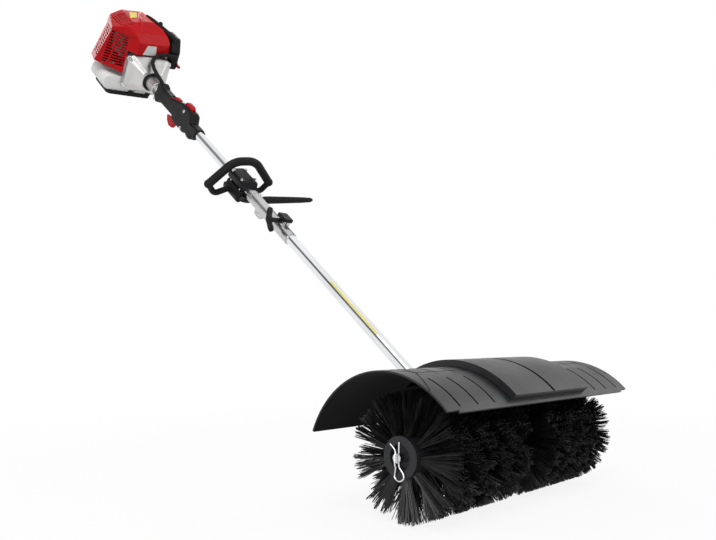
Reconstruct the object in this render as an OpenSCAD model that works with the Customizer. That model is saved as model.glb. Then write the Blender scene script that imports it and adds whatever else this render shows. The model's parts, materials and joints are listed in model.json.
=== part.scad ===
// Power brush sweeper: a two-stroke engine on a split shaft drives a worm gearbox
// and a pair of bristle drums under an arched guard.
// X runs along the brush axis, the front faces -Y, Z is up. Z = 0 is the swept ground.

/* [Brush] */
// Outer diameter over the bristle tips
brush_d = 206; // [180:1:230]
// Length of the brush over both end discs
brush_len = 520; // [420:1:640]
// Diameter of the brush cores and their end discs
core_d = 66; // [56:1:80]
// Diameter of the brush shaft
axle_d = 15; // [12:0.5:18]
// Free width between the two brush halves, for the gearbox
centre_gap = 58; // [57:1:90]

/* [Guard] */
// Length of the guard along the brush
guard_len = 594; // [540:1:700]
// Outer radius of the guard's arch
guard_r = 166; // [160:1:190]
// Thickness of the guard's wall
guard_wall = 4; // [3:0.5:6]
// How far the guard reaches forwards of its crest, in degrees
guard_front = 47; // [35:1:60]
// How far the guard reaches behind its crest, in degrees
guard_rear = 68; // [55:1:80]
// Height of the raised panels in the middle of the guard
panel_rise = 12; // [6:1:20]
// Length of the two raised panels together
panel_len = 244; // [200:1:300]

/* [Shaft] */
// Slope of the shaft above the ground, in degrees
shaft_angle = 40; // [30:1:50]
// Outer diameter of the shaft tubes
tube_d = 26; // [24:0.5:28]
// Wall of the shaft tubes
tube_wall = 1.5; // [1:0.25:2]
// Diameter of the drive shaft inside the tubes
drive_d = 8; // [6:0.5:9]
// Distance along the shaft from the gearbox to the middle of the coupler
coupler_t = 808; // [700:1:900]
// Distance along the shaft to the middle of the handle clamp
clamp_t = 944; // [940:1:1000]
// Distance along the shaft to the front end of the rear grip
grip_t = 1200; // [1180:1:1220]
// Distance along the shaft to the front of the engine's clutch case
engine_t = 1542; // [1530:1:1560]

/* [Gearbox] */
// Tooth size of the worm gear
gear_module = 2.5; // [2.4:0.05:2.55]
// Number of teeth on the worm wheel
wheel_teeth = 24; // [24:1:24]
// Pitch diameter of the worm
worm_pitch_d = 18; // [17:0.5:19]

/* [Handles] */
// Width of the loop handle over its corners
loop_width = 200; // [180:1:230]
// Height of the loop handle's top above the tube axis
loop_rise = 71; // [60:1:90]
// Diameter of the loop handle's padded grip
loop_d = 22; // [18:1:26]
// Turn of the loop handle round the tube, in degrees
loop_roll = 12; // [-15:1:15]
// Reach of the barrier bar to the left of the tube
bar_reach = 194; // [140:1:220]
// Length of the rear grip along the tube
grip_len = 274; // [264:1:280]

/* [Engine] */
// Width of the fuel tank
tank_w = 196; // [180:1:200]
// Height of the fuel tank's floor below the crank axis
tank_drop = 70; // [66:1:76]
// Turn of the engine round the tube, in degrees
engine_roll = 7; // [-10:1:10]
// Stroke of the piston
stroke = 31; // [28:0.5:32]
// Bore of the cylinder
bore_d = 40; // [36:0.5:42]
// Height of the red shroud above the crank axis
shroud_top = 154; // [150:1:160]
// Thickness of moulded walls
wall = 3; // [2:0.5:4]

/* [Hidden] */
$fn = 64;
overrun = 1;
fit = 0.05;
seat_gap = 0.3;
move_gap = 0.6;
bend_step = 0.02;
bend_lap = 0.3;

// Derived radii and axes
brush_r = brush_d / 2;
core_r = core_d / 2;
axle_r = axle_d / 2;
tube_r = tube_d / 2;
tube_in = tube_r - tube_wall;
drive_r = drive_d / 2;
worm_r = worm_pitch_d / 2;
wheel_r = gear_module * wheel_teeth / 2;
centres = wheel_r + worm_r;
shaft_y = centres * sin(shaft_angle);
shaft_z = brush_r - centres * cos(shaft_angle);
half_gap = centre_gap / 2;
half_brush = brush_len / 2;

// Guard
guard_y = 3;
guard_drop = 32;
guard_z = brush_r - guard_drop;
guard_in = guard_r - guard_wall;
lip_deg = 1.4;
lip_inset = 27;
panel_front = 45;
panel_back = 40;
panel_groove = 3;
panel_groove_deep = 2;
panel_in = guard_r + panel_rise - guard_wall;
wall_deg = 1.4;
notch_w = 44;
notch_from = 48;
groove_w = 2.4;
groove_deep = 1.2;
groove_steps = 45;
groove_start = 126;
groove_front = [21, 45];
groove_back = [-52, 16];

// Screws shared by the frame
screw_r = 2.5;
screw_head_r = 4.5;
screw_head_h = 3;
screw_len = 16;
hex_r = 2.3;
hex_deep = 1.8;

// Gearbox
case_wall = 6;
case_clear = 3;
case_rim = 8;
case_half = half_gap - case_clear;
case_cavity_half = 14;
wheel_w = 9;
tip_gap = 2;
addendum = gear_module;
dedendum_share = 1.25;
dedendum = gear_module * dedendum_share;
tooth_root_share = 0.27;
tooth_tip_share = 0.14;
thread_root_share = 0.19;
thread_tip_share = 0.07;
worm_len = 30;
worm_sides = 18;
worm_steps = 12;
worm_tip = worm_r + addendum;
worm_root = worm_r - dedendum;
worm_lead = PI * gear_module;
journal_r = 6;
small_bearing_r = 14;
small_bearing_w = 8;
large_bearing_r = 16;
large_bearing_w = 9;
cavity_r = wheel_r + addendum + tip_gap;
case_r = cavity_r + case_rim;
worm_case_r = small_bearing_r + case_wall;
worm_case_front = 38;
bearing_front = 24;
bearing_back = 24;
tube_stop = 40;
socket_len = 46;
cover_bolt_r = (cavity_r + case_r) / 2;
cover_bolt_angles = [0, 105, -105];
drive_socket = 16;
pad_l = 36;
pad_rise = 6;
pad_z = brush_r + case_r + pad_rise;
pad_x = (case_cavity_half - case_half) / 2;

// Guard bracket
bracket_t = 8;
bracket_w = 44;
bracket_flange_deg = 15;
bracket_foot_h = 8;
bracket_bolt_x = 13;
bracket_bolt_y = 11;
bracket_top = panel_in - fit;
guard_screw_len = bracket_t + 3 * fit + guard_wall / 2;

// Brush cores and bristles
core_wall = 5;
core_hub_r = 14;
core_web = 8;
recess_r = 20;
recess_deep = 12;
axle_out = 8;
clip_wire_r = 1.5;
clip_hole_r = clip_wire_r + fit;
clip_up = 26;
clip_down = 16;
clip_bend = 5.5;
clip_flare = 18;
bristle_sides = 20;
bristle_rings = 20;
sleeve_in = (core_r + fit) / cos(180 / bristle_sides);
sleeve_t = 2.5;
sleeve_out = sleeve_in + sleeve_t;
bristle_inset_share = 0.3;
bristle_tip_share = 0.13;
bristle_margin = 2;

// Drive line
bush_w = 14;
lower_bush_shares = [0.2, 0.5, 0.82];
upper_bush_shares = [0.3, 0.55, 0.8];
joint_gap = 4;
spline_r = 7.5;
spline_len = 34;

// Coupler
coupler_r = 16;
coupler_neck_r = 15.5;
coupler_down = 116;
coupler_up = 78;
coupler_collar_r = 16.5;
coupler_collar_w = 12;
slot_w = 3;
slot_len = 100;
ear_w = 9;
ear_h = 30;
ear_len = 26;
ear_back = 66;
ear_drop = -ear_back;
ear_out = slot_w / 2 + ear_w;
ear_cap_t = 3;
knob_h = 18;
knob_stud_r = 3;
knob_stem_r = 4.5;
knob_stem = 28;
knob_bar = 56;
knob_bar_r = 6;
knob_bar_end_r = 5;
knob_angle = 45;
lug_w = 8;
lug_drop = 28;
lug_len = 34;
lug_at = 24;
harness_r = 4.5;
harness_h = 21.5;
button_r = 4;
button_travel = 4;
button_proud = 2;
button_at = 52;
button_low = tube_in - overrun;

// Yellow marking strip on the lower tube
strip_from = 330;
strip_to = 510;
strip_t = 0.3;
strip_deg = 20;
strip_turn = -42;

// Loop handle and its clamp
clamp_len = 72;
clamp_w = 48;
clamp_h = 26;
clamp_low = 20;
clamp_split = 0.4;
clamp_corner = 9;
clamp_bolt_x = 18;
clamp_bolt_t = 24;
clamp_grip = 11;
clamp_screw_len = clamp_h + clamp_grip;
loop_bar_d = 16;
loop_side_dip = 4;
loop_low_dip = 33;
loop_low_share = 0.76;
loop_root_x = 16;
loop_root_dip = 13;
loop_at = 11;
loop_swell = 0.6;
loop_top_share = 0.35;
loop_corner = 16;
loop_crown_share = 0.58;
bar_d = 16;
bar_tip_d = 10;
bar_dip = 21.8;
bar_boss = 3;
bar_side = 20;
bar_bend = 25;
bar_turn = 86;
bar_arm = 19;
bar_back = 2;

// Rear grip
grip_half = 16;
grip_edge = 5;
grip_collar_r = 16;
grip_belly = 29;
grip_crown = 39;
grip_thin = 24;
grip_waist = 17;
grip_tail = 32;
grip_heel = 28;
pivot_r = 2;
lever_half = 5;
lever_gap = 0.6;
trigger_at = 136;
trigger_dip = 20;
trigger_len = 54;
trigger_drop = 30;
lock_at = 197;
lock_h = 19.5;
lock_len = 46;
switch_at = 94;
switch_len = 44;
switch_travel = 4;
switch_h = 11;
grip_nose = 20;
grip_lug = 28;
grip_lug_from = 28;
grip_lug_to = 42;
grip_notch = 22;
grip_notch_at = 52;
grip_neck = 46;
grip_crest = 58;
grip_chin = 70;
grip_chamfer = 14;
grip_flare = 24;
grip_lip = 14;
grip_back = 176;
grip_brow = 122;
grip_screw_low = 20;
grip_screw_high = 26;
grip_screw_front = 78;
grip_screw_mid = 90;
grip_screw_back = 8;
grip_screw_stop = 7;
grip_screws = [[grip_screw_front, -grip_screw_low], [grip_screw_mid, grip_screw_high],
    [grip_len - grip_screw_back, -grip_screw_low]];
grip_screw_len = 2 * grip_half - grip_screw_stop;
pin_half = 13;
pin_back = 6;
wall_min = 1;
trigger_gap = 6;
trigger_round = 2.5;
trigger_shares = [[-0.09, 0.14], [0.9, -0.26], [0.93, -0.42], [0.74, -0.8], [0.42, -1.06], [0.1, -1],
    [-0.09, -0.4]];
lock_shares = [[0.09, -0.2], [0.09, 0.2], [-0.1, 0.36], [-0.42, 1], [-0.86, 1], [-0.84, 0.3], [-0.2, -0.2]];
lock_rise = 15;
switch_deep = 7;
switch_round = 1.5;

// Engine: places along the crank axis, from the front of the clutch case
neck_r = 21;
neck_len = 52;
grip_clear = 10;
engine_at = max(engine_t, grip_t + grip_len + grip_clear + neck_len);
tube_end = 12;
case_w = 136;
case_up = 62;
case_down = 53;
case_corner = 22;
case_nose_share = 0.45;
case_flare = 42;
case_depth = 58;
case_boss_r = 8;
case_boss_len = 12;
case_boss_x = 64;
case_boss_low = 40;
case_boss_high = 46;
bearing_start = 4;
drum_start = 22;
drum_end = 40;
drum_r = 33;
drum_wall = 3;
shoe_gap = 1;
shoe_w = 12;
shoe_pin_share = 0.75;
wheel_start = 44;
wheel_end = 56;
flywheel_r = 44;
flywheel_fins = 12;
fin_t = 2.5;
crank_end = 122;
crankcase_r = 46;
crank_cavity_r = 38;
crank_wall = 12;
web_r = 30;
web_w = 8;
rod_w = 10;
rod_gap = 2;
rod_len = 58;
rod_big_r = 10;
rod_small_r = 7;
rod_shank = 8;
pin_r = 4.5;
crankpin_r = 5.5;
piston_up = 15;
piston_down = 11;
bore_r = bore_d / 2;
cylinder_wall = 6;
head_h = 10;
fin_r = 40;
fin_count = 7;
cylinder_foot = 46;
port_w = 30;
exhaust_low = 58;
exhaust_h = 24;
port_reach = 42;
plug_r = 5;
plug_hex_r = 9;

// Engine: outer pieces
muffler_w = 40;
muffler_l = 74;
muffler_h = 64;
muffler_at = 76;
muffler_round = 8;
outlet_r = 7;
outlet_len = 8;
muffler_low = 34;
shroud_front = 54;
shroud_back = 180;
shroud_right = 130;
shroud_left = 62;
shroud_dip = 4;
shroud_skirt = -shroud_dip;
shroud_sill = 66;
shroud_step = 72;
shroud_chamfer_t = 106;
shroud_corner = 10;
shroud_nib = 10;
shroud_rake = 48;
shroud_side_shares = [[0, 0.66], [0.33, 0.84], [1, 0.985], [1.8, 1]];
shroud_arch_shares = [[-1, 0.6], [-0.86, 0.77], [-0.52, 0.95], [0, 1], [0.55, 0.91], [0.86, 0.77], [1, 0.6]];
recoil_arch_shares = [[-0.77, 0.7], [-0.5, 0.93], [0, 1], [0.55, 0.93], [0.86, 0.79], [1, 0.62]];
slot_low = 5;
slot_h = 4;
slot_pitch = 7.8;
slot_rows = 10;
slot_run = 42;
side_slot_run = 34;
carb_w = 22;
carb_l = 42;
carb_h = 28;
carb_low = 35;
filter_w = 30;
filter_from = 52;
filter_to = 150;
filter_low = 30;
filter_high = 126;
filter_corner = 18;
bulb_seat = 2;
choke_at = 66;
choke_h = 46;
choke_r = 4;
choke_len = 24;
bulb_r = 9;
bulb_travel = 4;
tank_from = 67;
tank_to = 176;
tank_dip = 22;
tank_top = -tank_dip;
tank_shift = 20;
tank_saddle = 54;
tank_corner = 20;
cap_r = 19;
cap_h = 14;
filler_r = 14;
filler_len = 8;
filler_dip = 48;
filler_at = 112;
stand_w = 142;
stand_to = 168;
stand_shift = 33;
stand_t = 10;
stand_bar = 14;
post_x = 28;
post_w = 14;
post_l = 8;
recoil_t = 16;
recoil_r = 60;
recoil_deep = 24;
recoil_dip = 34;
recoil_low = -recoil_dip;
recoil_leg = 7;
leg_x = 39;
leg_h = 24;
pulley_r = 33;
pulley_w = 10;
post_r = 6;
rope_r = 1.6;
rope_x = 35.5;
pull_r = 6;
pull_bar = 40;
pull_stem = 16;
recoil_right = 100;

// Throttle conduit: round points, [x, along the shaft, height], first from the grip's end and then from the
// front of the clutch case
conduit_d = 12;
conduit_sides = 10;
conduit_up = [0.31, 0.9, 0.2];
conduit_tail = [[0, -16, 23], [0, 2, 24]];
conduit_rise = [[-2, -50, 29], [-8, -28, 36], [-13, -6, 45], [-13, 14, 54], [-6, 30, 64], [8, 40, 73],
    [26, 43, 80], [44, 43, 84], [58, 43, 85.5], [68, 44, 86], [73, 47, 86], [74, 49.5, 86], [74, 51.9, 86]];
conduit_route = concat([for (p = conduit_tail) p + [0, grip_t + grip_len, 0]],
    [for (p = conduit_rise) p + [0, engine_at, 0]]);

// Frames: the shaft's own axes are [x, down, along], and the engine sits on the shaft
module on_shaft(t = 0, x = 0, h = 0)
    translate([0, shaft_y, shaft_z]) rotate([shaft_angle - 90, 0, 0]) translate([x, -h, t]) children();
module on_engine(t = 0, x = 0, h = 0)
    on_shaft(engine_at + t) rotate([0, 0, -engine_roll]) translate([x, -h, 0]) children();
module on_axle(x = 0) translate([x, 0, brush_r]) rotate([0, 90, 0]) children();
module on_guard() translate([0, guard_y, guard_z]) rotate([0, 90, 0]) rotate([0, 0, 180]) children();

// Plates drawn in the shaft's planes: along-height, sideways-height and sideways-along
module side_plate(width, x = 0)
    translate([x, 0, 0]) rotate([180, 0, 0]) rotate([0, 90, 0]) linear_extrude(width) children();
module front_plate(depth, t = 0)
    translate([0, 0, t + depth]) rotate([180, 0, 0]) linear_extrude(depth) children();
module level_plate(height, h = 0)
    translate([0, -h, 0]) rotate([90, 0, 0]) linear_extrude(height) children();
module up_rod(r, len, h = 0) translate([0, -h, 0]) rotate([90, 0, 0]) cylinder(r = r, h = len);
module side_rod(r, len, x = 0) translate([x, 0, 0]) rotate([0, 90, 0]) cylinder(r = r, h = len);

// Outlines with rounded corners
function unit(v) = v / norm(v);
function corner_arc(p, a, b, r, steps = 6) =
    let (u = unit(a - p), w = unit(b - p), half = acos(u * w) / 2, c = p + unit(u + w) * r / sin(half),
        s = p + u * r / tan(half) - c, e = p + w * r / tan(half) - c,
        from = atan2(s.y, s.x), raw = atan2(e.y, e.x) - from,
        turn = raw > 180 ? raw - 360 : raw < -180 ? raw + 360 : raw)
    [for (i = [0:steps]) c + r * [cos(from + turn * i / steps), sin(from + turn * i / steps)]];
function rounded(pts, r) =
    [for (i = [0:len(pts) - 1])
        each corner_arc(pts[i], pts[(i + len(pts) - 1) % len(pts)], pts[(i + 1) % len(pts)], r)];
function box_outline(w, low, high) = [[-w / 2, low], [w / 2, low], [w / 2, high], [-w / 2, high]];

module ring(outer, inner, width)
    difference() {
        cylinder(r = outer, h = width);
        translate([0, 0, -overrun]) cylinder(r = inner, h = width + 2 * overrun);
    }

// A rod of straight runs and bends in one plane; legs are [run, bend radius, turn].
// Each run laps into its bends and is a hair thinner than they are.
module bent_rod(r, legs, i = 0)
    if (i < len(legs)) {
        run = legs[i][0];
        bend = legs[i][1];
        turn = legs[i][2];
        side_rod(r - bend_step, run + 2 * bend_lap, -bend_lap);
        translate([run, 0, 0]) {
            if (turn != 0) mirror([0, turn < 0 ? 1 : 0, 0]) translate([0, bend, 0]) rotate([0, 0, -90])
                rotate_extrude(angle = abs(turn)) translate([bend, 0]) circle(r = r);
            translate([bend * sin(abs(turn)), sign(turn) * bend * (1 - cos(turn)), 0]) rotate([0, 0, turn])
                bent_rod(r, legs, i + 1);
        }
    }

// A screw with a socket head; its head stands on z = 0 and its shank runs down
module screw(len = screw_len)
    difference() {
        union() {
            cylinder(r = screw_head_r, h = screw_head_h);
            translate([0, 0, -len]) cylinder(r = screw_r, h = len);
        }
        translate([0, 0, screw_head_h - hex_deep]) cylinder(r = hex_r, h = hex_deep + overrun, $fn = 6);
    }
module screw_hole(len = screw_len)
    translate([0, 0, -len - overrun]) cylinder(r = screw_r + fit, h = len + 2 * overrun);

// Guard
module guard_arc(inner, outer, from, to, length, x = 0)
    rotate([0, 0, from]) rotate_extrude(angle = to - from)
        translate([inner, x - length / 2]) square([outer - inner, length]);
module guard_groove(x, span)
    guard_arc(guard_r - groove_deep, guard_r + overrun, span[0], span[1], groove_w, x);
module guard_screw_places()
    for (x = [-bracket_bolt_x, bracket_bolt_x], a = [-bracket_flange_deg / 2, bracket_flange_deg / 2])
        on_guard() rotate([0, 0, a]) translate([bracket_top - bracket_t - 2 * fit, 0, x])
            rotate([0, -90, 0]) children();
module brush_guard() color("#1c1d1f") difference() {
    on_guard() difference() {
        union() {
            guard_arc(guard_in, guard_r, -guard_rear, guard_front, guard_len);
            guard_arc(guard_in, guard_r, guard_front - lip_deg, guard_front + lip_deg,
                guard_len - 2 * lip_inset);
            guard_arc(guard_in, guard_r + panel_rise, -panel_back, panel_front, panel_len);
        }
        guard_arc(guard_in - overrun, panel_in, wall_deg - panel_back, panel_front - wall_deg,
            panel_len - 2 * guard_wall);
        guard_arc(guard_r + panel_rise - panel_groove_deep, guard_r + panel_rise + overrun,
            -panel_back - lip_deg, panel_front + lip_deg, panel_groove);
        for (s = [-1, 1], i = [1:3]) {
            guard_groove(s * (groove_start + groove_steps * i), groove_front);
            guard_groove(s * (groove_start + groove_steps * i), groove_back);
        }
        guard_arc(guard_in - overrun, guard_r + panel_rise + overrun, -guard_rear - lip_deg, -notch_from,
            notch_w);
    }
    guard_screw_places() screw_hole(guard_screw_len);
}

// Guard bracket: a foot on the gearbox pad, an upright web and an arched flange
module bracket_screw_places()
    for (x = [-bracket_bolt_x, bracket_bolt_x], y = [-bracket_bolt_y, bracket_bolt_y])
        translate([pad_x + x, y, pad_z + bracket_foot_h]) children();
module guard_bracket() color("#2b2c2e") difference() {
    union() {
        on_guard() guard_arc(bracket_top - bracket_t, bracket_top, -bracket_flange_deg, bracket_flange_deg,
            bracket_w);
        translate([-bracket_w / 2, -pad_l / 2, pad_z]) cube([bracket_w, pad_l, bracket_foot_h]);
        translate([-bracket_w / 2, -bracket_t / 2, pad_z])
            cube([bracket_w, bracket_t, guard_z + panel_in - bracket_t / 2 - pad_z]);
    }
    bracket_screw_places() screw_hole();
    guard_screw_places() screw_hole(guard_screw_len);
}

// Gearbox
module gear_cavity() {
    on_axle(-case_cavity_half) cylinder(r = cavity_r, h = case_cavity_half + case_half + overrun);
    on_shaft(-bearing_front - small_bearing_w)
        cylinder(r = small_bearing_r + fit, h = bearing_front + bearing_back + 2 * small_bearing_w);
    on_shaft(bearing_back + small_bearing_w - overrun)
        cylinder(r = tube_in, h = tube_stop - bearing_back - small_bearing_w + 2 * overrun);
    on_shaft(tube_stop) cylinder(r = tube_r + fit, h = socket_len + overrun);
    on_axle(-case_cavity_half - large_bearing_w)
        cylinder(r = large_bearing_r + fit, h = large_bearing_w + overrun);
    on_axle(-case_half - overrun) cylinder(r = axle_r + move_gap, h = case_half);
}
module cover_screw_places()
    for (a = cover_bolt_angles)
        translate([case_half, 0, brush_r]) rotate([shaft_angle + a, 0, 0]) translate([0, 0, cover_bolt_r])
            rotate([0, 90, 0]) children();
module gearbox_housing() color("#3a3c3e") difference() {
    union() {
        on_axle(-case_half) cylinder(r = case_r, h = case_half + case_cavity_half);
        on_shaft(-worm_case_front) cylinder(r = worm_case_r, h = worm_case_front + tube_stop);
        on_shaft(tube_stop - overrun) cylinder(r = tube_r + case_wall, h = socket_len + overrun);
        translate([-case_half, -pad_l / 2, brush_r])
            cube([case_half + case_cavity_half, pad_l, pad_z - brush_r]);
    }
    gear_cavity();
    cover_screw_places() screw_hole();
    bracket_screw_places() screw_hole();
}
module gearbox_cover() color("#46484a") difference() {
    on_axle(case_cavity_half) cylinder(r = case_r, h = case_half - case_cavity_half);
    on_axle(case_cavity_half - overrun) cylinder(r = large_bearing_r + fit, h = large_bearing_w + overrun);
    on_axle(case_cavity_half) cylinder(r = axle_r + move_gap, h = case_half);
    cover_screw_places() screw_hole();
    on_shaft(-worm_case_front) cylinder(r = worm_case_r + seat_gap, h = worm_case_front + tube_stop);
}
module axle_bearings() color("#b9bcc0")
    for (x = [-case_cavity_half - large_bearing_w, case_cavity_half])
        on_axle(x) ring(large_bearing_r, axle_r + fit, large_bearing_w);
module worm_bearings() color("#b9bcc0")
    for (t = [-bearing_front - small_bearing_w, bearing_back])
        on_shaft(t) ring(small_bearing_r, journal_r + fit, small_bearing_w);
function worm_radius(a) =
    let (turn = abs(a > 180 ? a - 360 : a) / 360, way = (turn - thread_tip_share)
        / (thread_root_share - thread_tip_share))
    worm_tip - (worm_tip - worm_root) * min(max(way, 0), 1);
module worm_shaft() color("#9fa3a8") difference() {
    union() {
        on_shaft(-bearing_front - small_bearing_w + fit)
            cylinder(r = journal_r, h = bearing_front + bearing_back + 2 * small_bearing_w + drive_socket);
        on_shaft(-worm_len / 2) rotate([0, 0, 90 + 180 * worm_len / worm_lead])
            linear_extrude(worm_len, twist = 360 * worm_len / worm_lead, $fn = worm_sides,
            slices = round(worm_steps * worm_len / worm_lead))
            polygon([for (i = [0:worm_sides - 1]) worm_radius(360 * i / worm_sides)
                * [cos(360 * i / worm_sides), sin(360 * i / worm_sides)]]);
    }
    on_shaft(bearing_back + small_bearing_w) cylinder(r = drive_r + fit, h = drive_socket + overrun);
}
function tooth_points(i) =
    let (step = 360 / wheel_teeth, root = wheel_r - dedendum, tip = wheel_r + addendum)
    [for (p = [[root, -tooth_root_share], [tip, -tooth_tip_share], [tip, tooth_tip_share],
            [root, tooth_root_share]])
        p[0] * [cos(step * (i + p[1])), sin(step * (i + p[1]))]];
module worm_wheel() color("#c39a4b") difference() {
    on_axle(-wheel_w / 2) rotate([0, 0, shaft_angle]) linear_extrude(wheel_w)
        polygon([for (i = [0:wheel_teeth - 1]) each tooth_points(i)]);
    on_axle(-wheel_w) cylinder(r = axle_r + fit, h = 2 * wheel_w);
}

// Brush
module clip_place(s) on_axle(s * (half_brush + clip_wire_r + move_gap)) children();
module brush_shaft() color("#a8acb1") difference() {
    on_axle(-half_brush - axle_out) cylinder(r = axle_r, h = brush_len + 2 * axle_out);
    for (s = [-1, 1]) clip_place(s) translate([-brush_r, 0, 0]) rotate([0, 90, 0])
        cylinder(r = clip_hole_r, h = brush_d);
}
half_len = half_brush - half_gap;
core_floor = half_len - recess_deep;
module brush_core() on_axle(half_gap) rotate_extrude()
    polygon([[axle_r + fit, 0], [core_hub_r, 0], [core_hub_r, core_floor - core_web],
        [core_r - core_wall, core_floor - core_web], [core_r - core_wall, 0], [core_r, 0], [core_r, half_len],
        [recess_r, half_len], [recess_r, core_floor], [axle_r + fit, core_floor]]);
module left_brush_core() color("#2a2b2d") brush_core();
module right_brush_core() color("#2a2b2d") mirror([1, 0, 0]) brush_core();

// Bristles: a grid sleeve whose every second cell grows a four-sided strand
function sleeve_point(i, j, r) =
    let (a = 360 * i / bristle_sides, len = half_len - 2 * bristle_margin)
    [r * cos(a), r * sin(a), bristle_margin + len * j / bristle_rings];
function cell_point(i, j, u, v, r) =
    let (a = 360 * (i + u) / bristle_sides, len = half_len - 2 * bristle_margin)
    [r * cos(a), r * sin(a), bristle_margin + len * (j + v) / bristle_rings];
function cell_index(i, j) = (i % bristle_sides) + bristle_sides * j;
function strand_square(i, j, inset, r) =
    [for (c = [[inset, inset], [1 - inset, inset], [1 - inset, 1 - inset], [inset, 1 - inset]])
        cell_point(i, j, c[0], c[1], r)];
function has_strand(i, j) = (i + j) % 2 == 0;
function quad(a, b, c, d) = [[a, b, c], [a, c, d]];
module bristle_half() {
    n = bristle_sides;
    m = bristle_rings;
    grid = n * (m + 1);
    strands = [for (j = [0:m - 1], i = [0:n - 1]) if (has_strand(i, j)) [i, j]];
    points = concat(
        [for (j = [0:m], i = [0:n - 1]) sleeve_point(i, j, sleeve_out)],
        [for (j = [0, m], i = [0:n - 1]) sleeve_point(i, j, sleeve_in)],
        [for (c = strands) each concat(strand_square(c[0], c[1], bristle_inset_share, sleeve_out),
            strand_square(c[0], c[1], 0.5 - bristle_tip_share / 2, brush_r))]);
    skin = [for (j = [0:m - 1], i = [0:n - 1]) if (!has_strand(i, j))
        each quad(cell_index(i, j), cell_index(i, j + 1), cell_index(i + 1, j + 1), cell_index(i + 1, j))];
    inside = [for (i = [0:n - 1])
        each quad(grid + i, grid + (i + 1) % n, grid + n + (i + 1) % n, grid + n + i)];
    ends = [for (i = [0:n - 1]) each concat(
        quad(i, (i + 1) % n, grid + (i + 1) % n, grid + i),
        quad(n * m + (i + 1) % n, n * m + i, grid + n + i, grid + n + (i + 1) % n))];
    spikes = [for (k = [0:len(strands) - 1])
        let (i = strands[k][0], j = strands[k][1], b = grid + 2 * n + 8 * k,
            cell = [cell_index(i, j), cell_index(i + 1, j), cell_index(i + 1, j + 1), cell_index(i, j + 1)])
        each concat(
            [for (q = [0:3]) each quad(cell[q], b + q, b + (q + 1) % 4, cell[(q + 1) % 4])],
            [for (q = [0:3]) each quad(b + q, b + 4 + q, b + 4 + (q + 1) % 4, b + (q + 1) % 4)],
            quad(b + 4, b + 7, b + 6, b + 5))];
    polyhedron(points, concat(skin, inside, ends, spikes));
}
module left_bristles() color("#0e0e0f") on_axle(half_gap) bristle_half();
module right_bristles() color("#0e0e0f") mirror([1, 0, 0]) on_axle(half_gap) bristle_half();

// Spring clips through the ends of the brush shaft
module spring_clip(s) clip_place(s) rotate([0, 0, 180]) translate([clip_up, 0, 0]) rotate([0, 0, 180])
    bent_rod(clip_wire_r, [[clip_up + clip_down, clip_bend, 180],
        [clip_down + axle_r, clip_bend, -clip_flare], [clip_up / 2, clip_bend, 0]]);
module left_clip() color("#d7dade") spring_clip(1);
module right_clip() color("#d7dade") spring_clip(-1);

// Shaft tubes and drive line
lower_end = coupler_t - joint_gap / 2;
upper_start = coupler_t + joint_gap / 2;
upper_end = engine_at - tube_end;
module lower_tube() color("#d4d7da") on_shaft(tube_stop) ring(tube_r, tube_in, lower_end - tube_stop);
module upper_tube() color("#d4d7da") difference() {
    on_shaft(upper_start) ring(tube_r, tube_in, upper_end - upper_start);
    on_shaft(coupler_t + button_at) up_rod(button_r + fit, tube_d);
}
module drive_bushes() color("#3b3b3d") {
    for (k = lower_bush_shares)
        on_shaft(tube_stop + (lower_end - tube_stop) * k) ring(tube_in - fit, drive_r + fit, bush_w);
    for (k = upper_bush_shares)
        on_shaft(upper_start + (upper_end - upper_start) * k) ring(tube_in - fit, drive_r + fit, bush_w);
}
drive_start = bearing_back + small_bearing_w + fit;
module lower_drive_shaft() color("#8d9196")
    on_shaft(drive_start) cylinder(r = drive_r, h = coupler_t - drive_start);
module upper_drive_shaft() color("#8d9196") on_shaft(coupler_t - spline_len) difference() {
    union() {
        cylinder(r = spline_r, h = 2 * spline_len);
        translate([0, 0, spline_len]) cylinder(r = drive_r, h = upper_end + tube_end / 2 - coupler_t);
    }
    translate([0, 0, -overrun]) cylinder(r = drive_r + fit, h = spline_len + overrun + fit);
}
module marking_strip() color("#e8c820") on_shaft(strip_from) rotate([0, 0, strip_turn - 90 - strip_deg / 2])
    rotate_extrude(angle = strip_deg) translate([tube_r + fit, 0]) square([strip_t, strip_to - strip_from]);

// Coupler
module coupler_body() color("#c3c6c9") on_shaft(coupler_t) difference() {
    union() {
        translate([0, 0, -coupler_down]) cylinder(r = coupler_r, h = coupler_down);
        cylinder(r1 = coupler_r, r2 = coupler_neck_r, h = coupler_up);
        translate([0, 0, coupler_up - coupler_collar_w]) cylinder(r = coupler_collar_r, h = coupler_collar_w);
        translate([-ear_out, -ear_h, ear_drop - ear_len / 2]) cube([2 * ear_out, ear_h, ear_len]);
        translate([0, 0, lug_at]) side_plate(lug_w, -lug_w / 2)
            polygon(rounded(box_outline(lug_len, -lug_drop, 0), lug_w));
    }
    translate([0, 0, -coupler_down - overrun])
        cylinder(r = tube_r + fit, h = coupler_down + coupler_up + 2 * overrun);
    translate([-slot_w / 2, -ear_h - overrun, -coupler_down - overrun])
        cube([slot_w, ear_h, slot_len + overrun]);
    translate([0, -knob_h, ear_drop]) side_rod(knob_stud_r + fit, 4 * ear_out, -2 * ear_out);
    translate([0, harness_h, lug_at]) side_rod(harness_r, 2 * lug_w, -lug_w);
    translate([0, 0, button_at]) up_rod(button_r + fit, coupler_collar_r + overrun);
}
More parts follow.
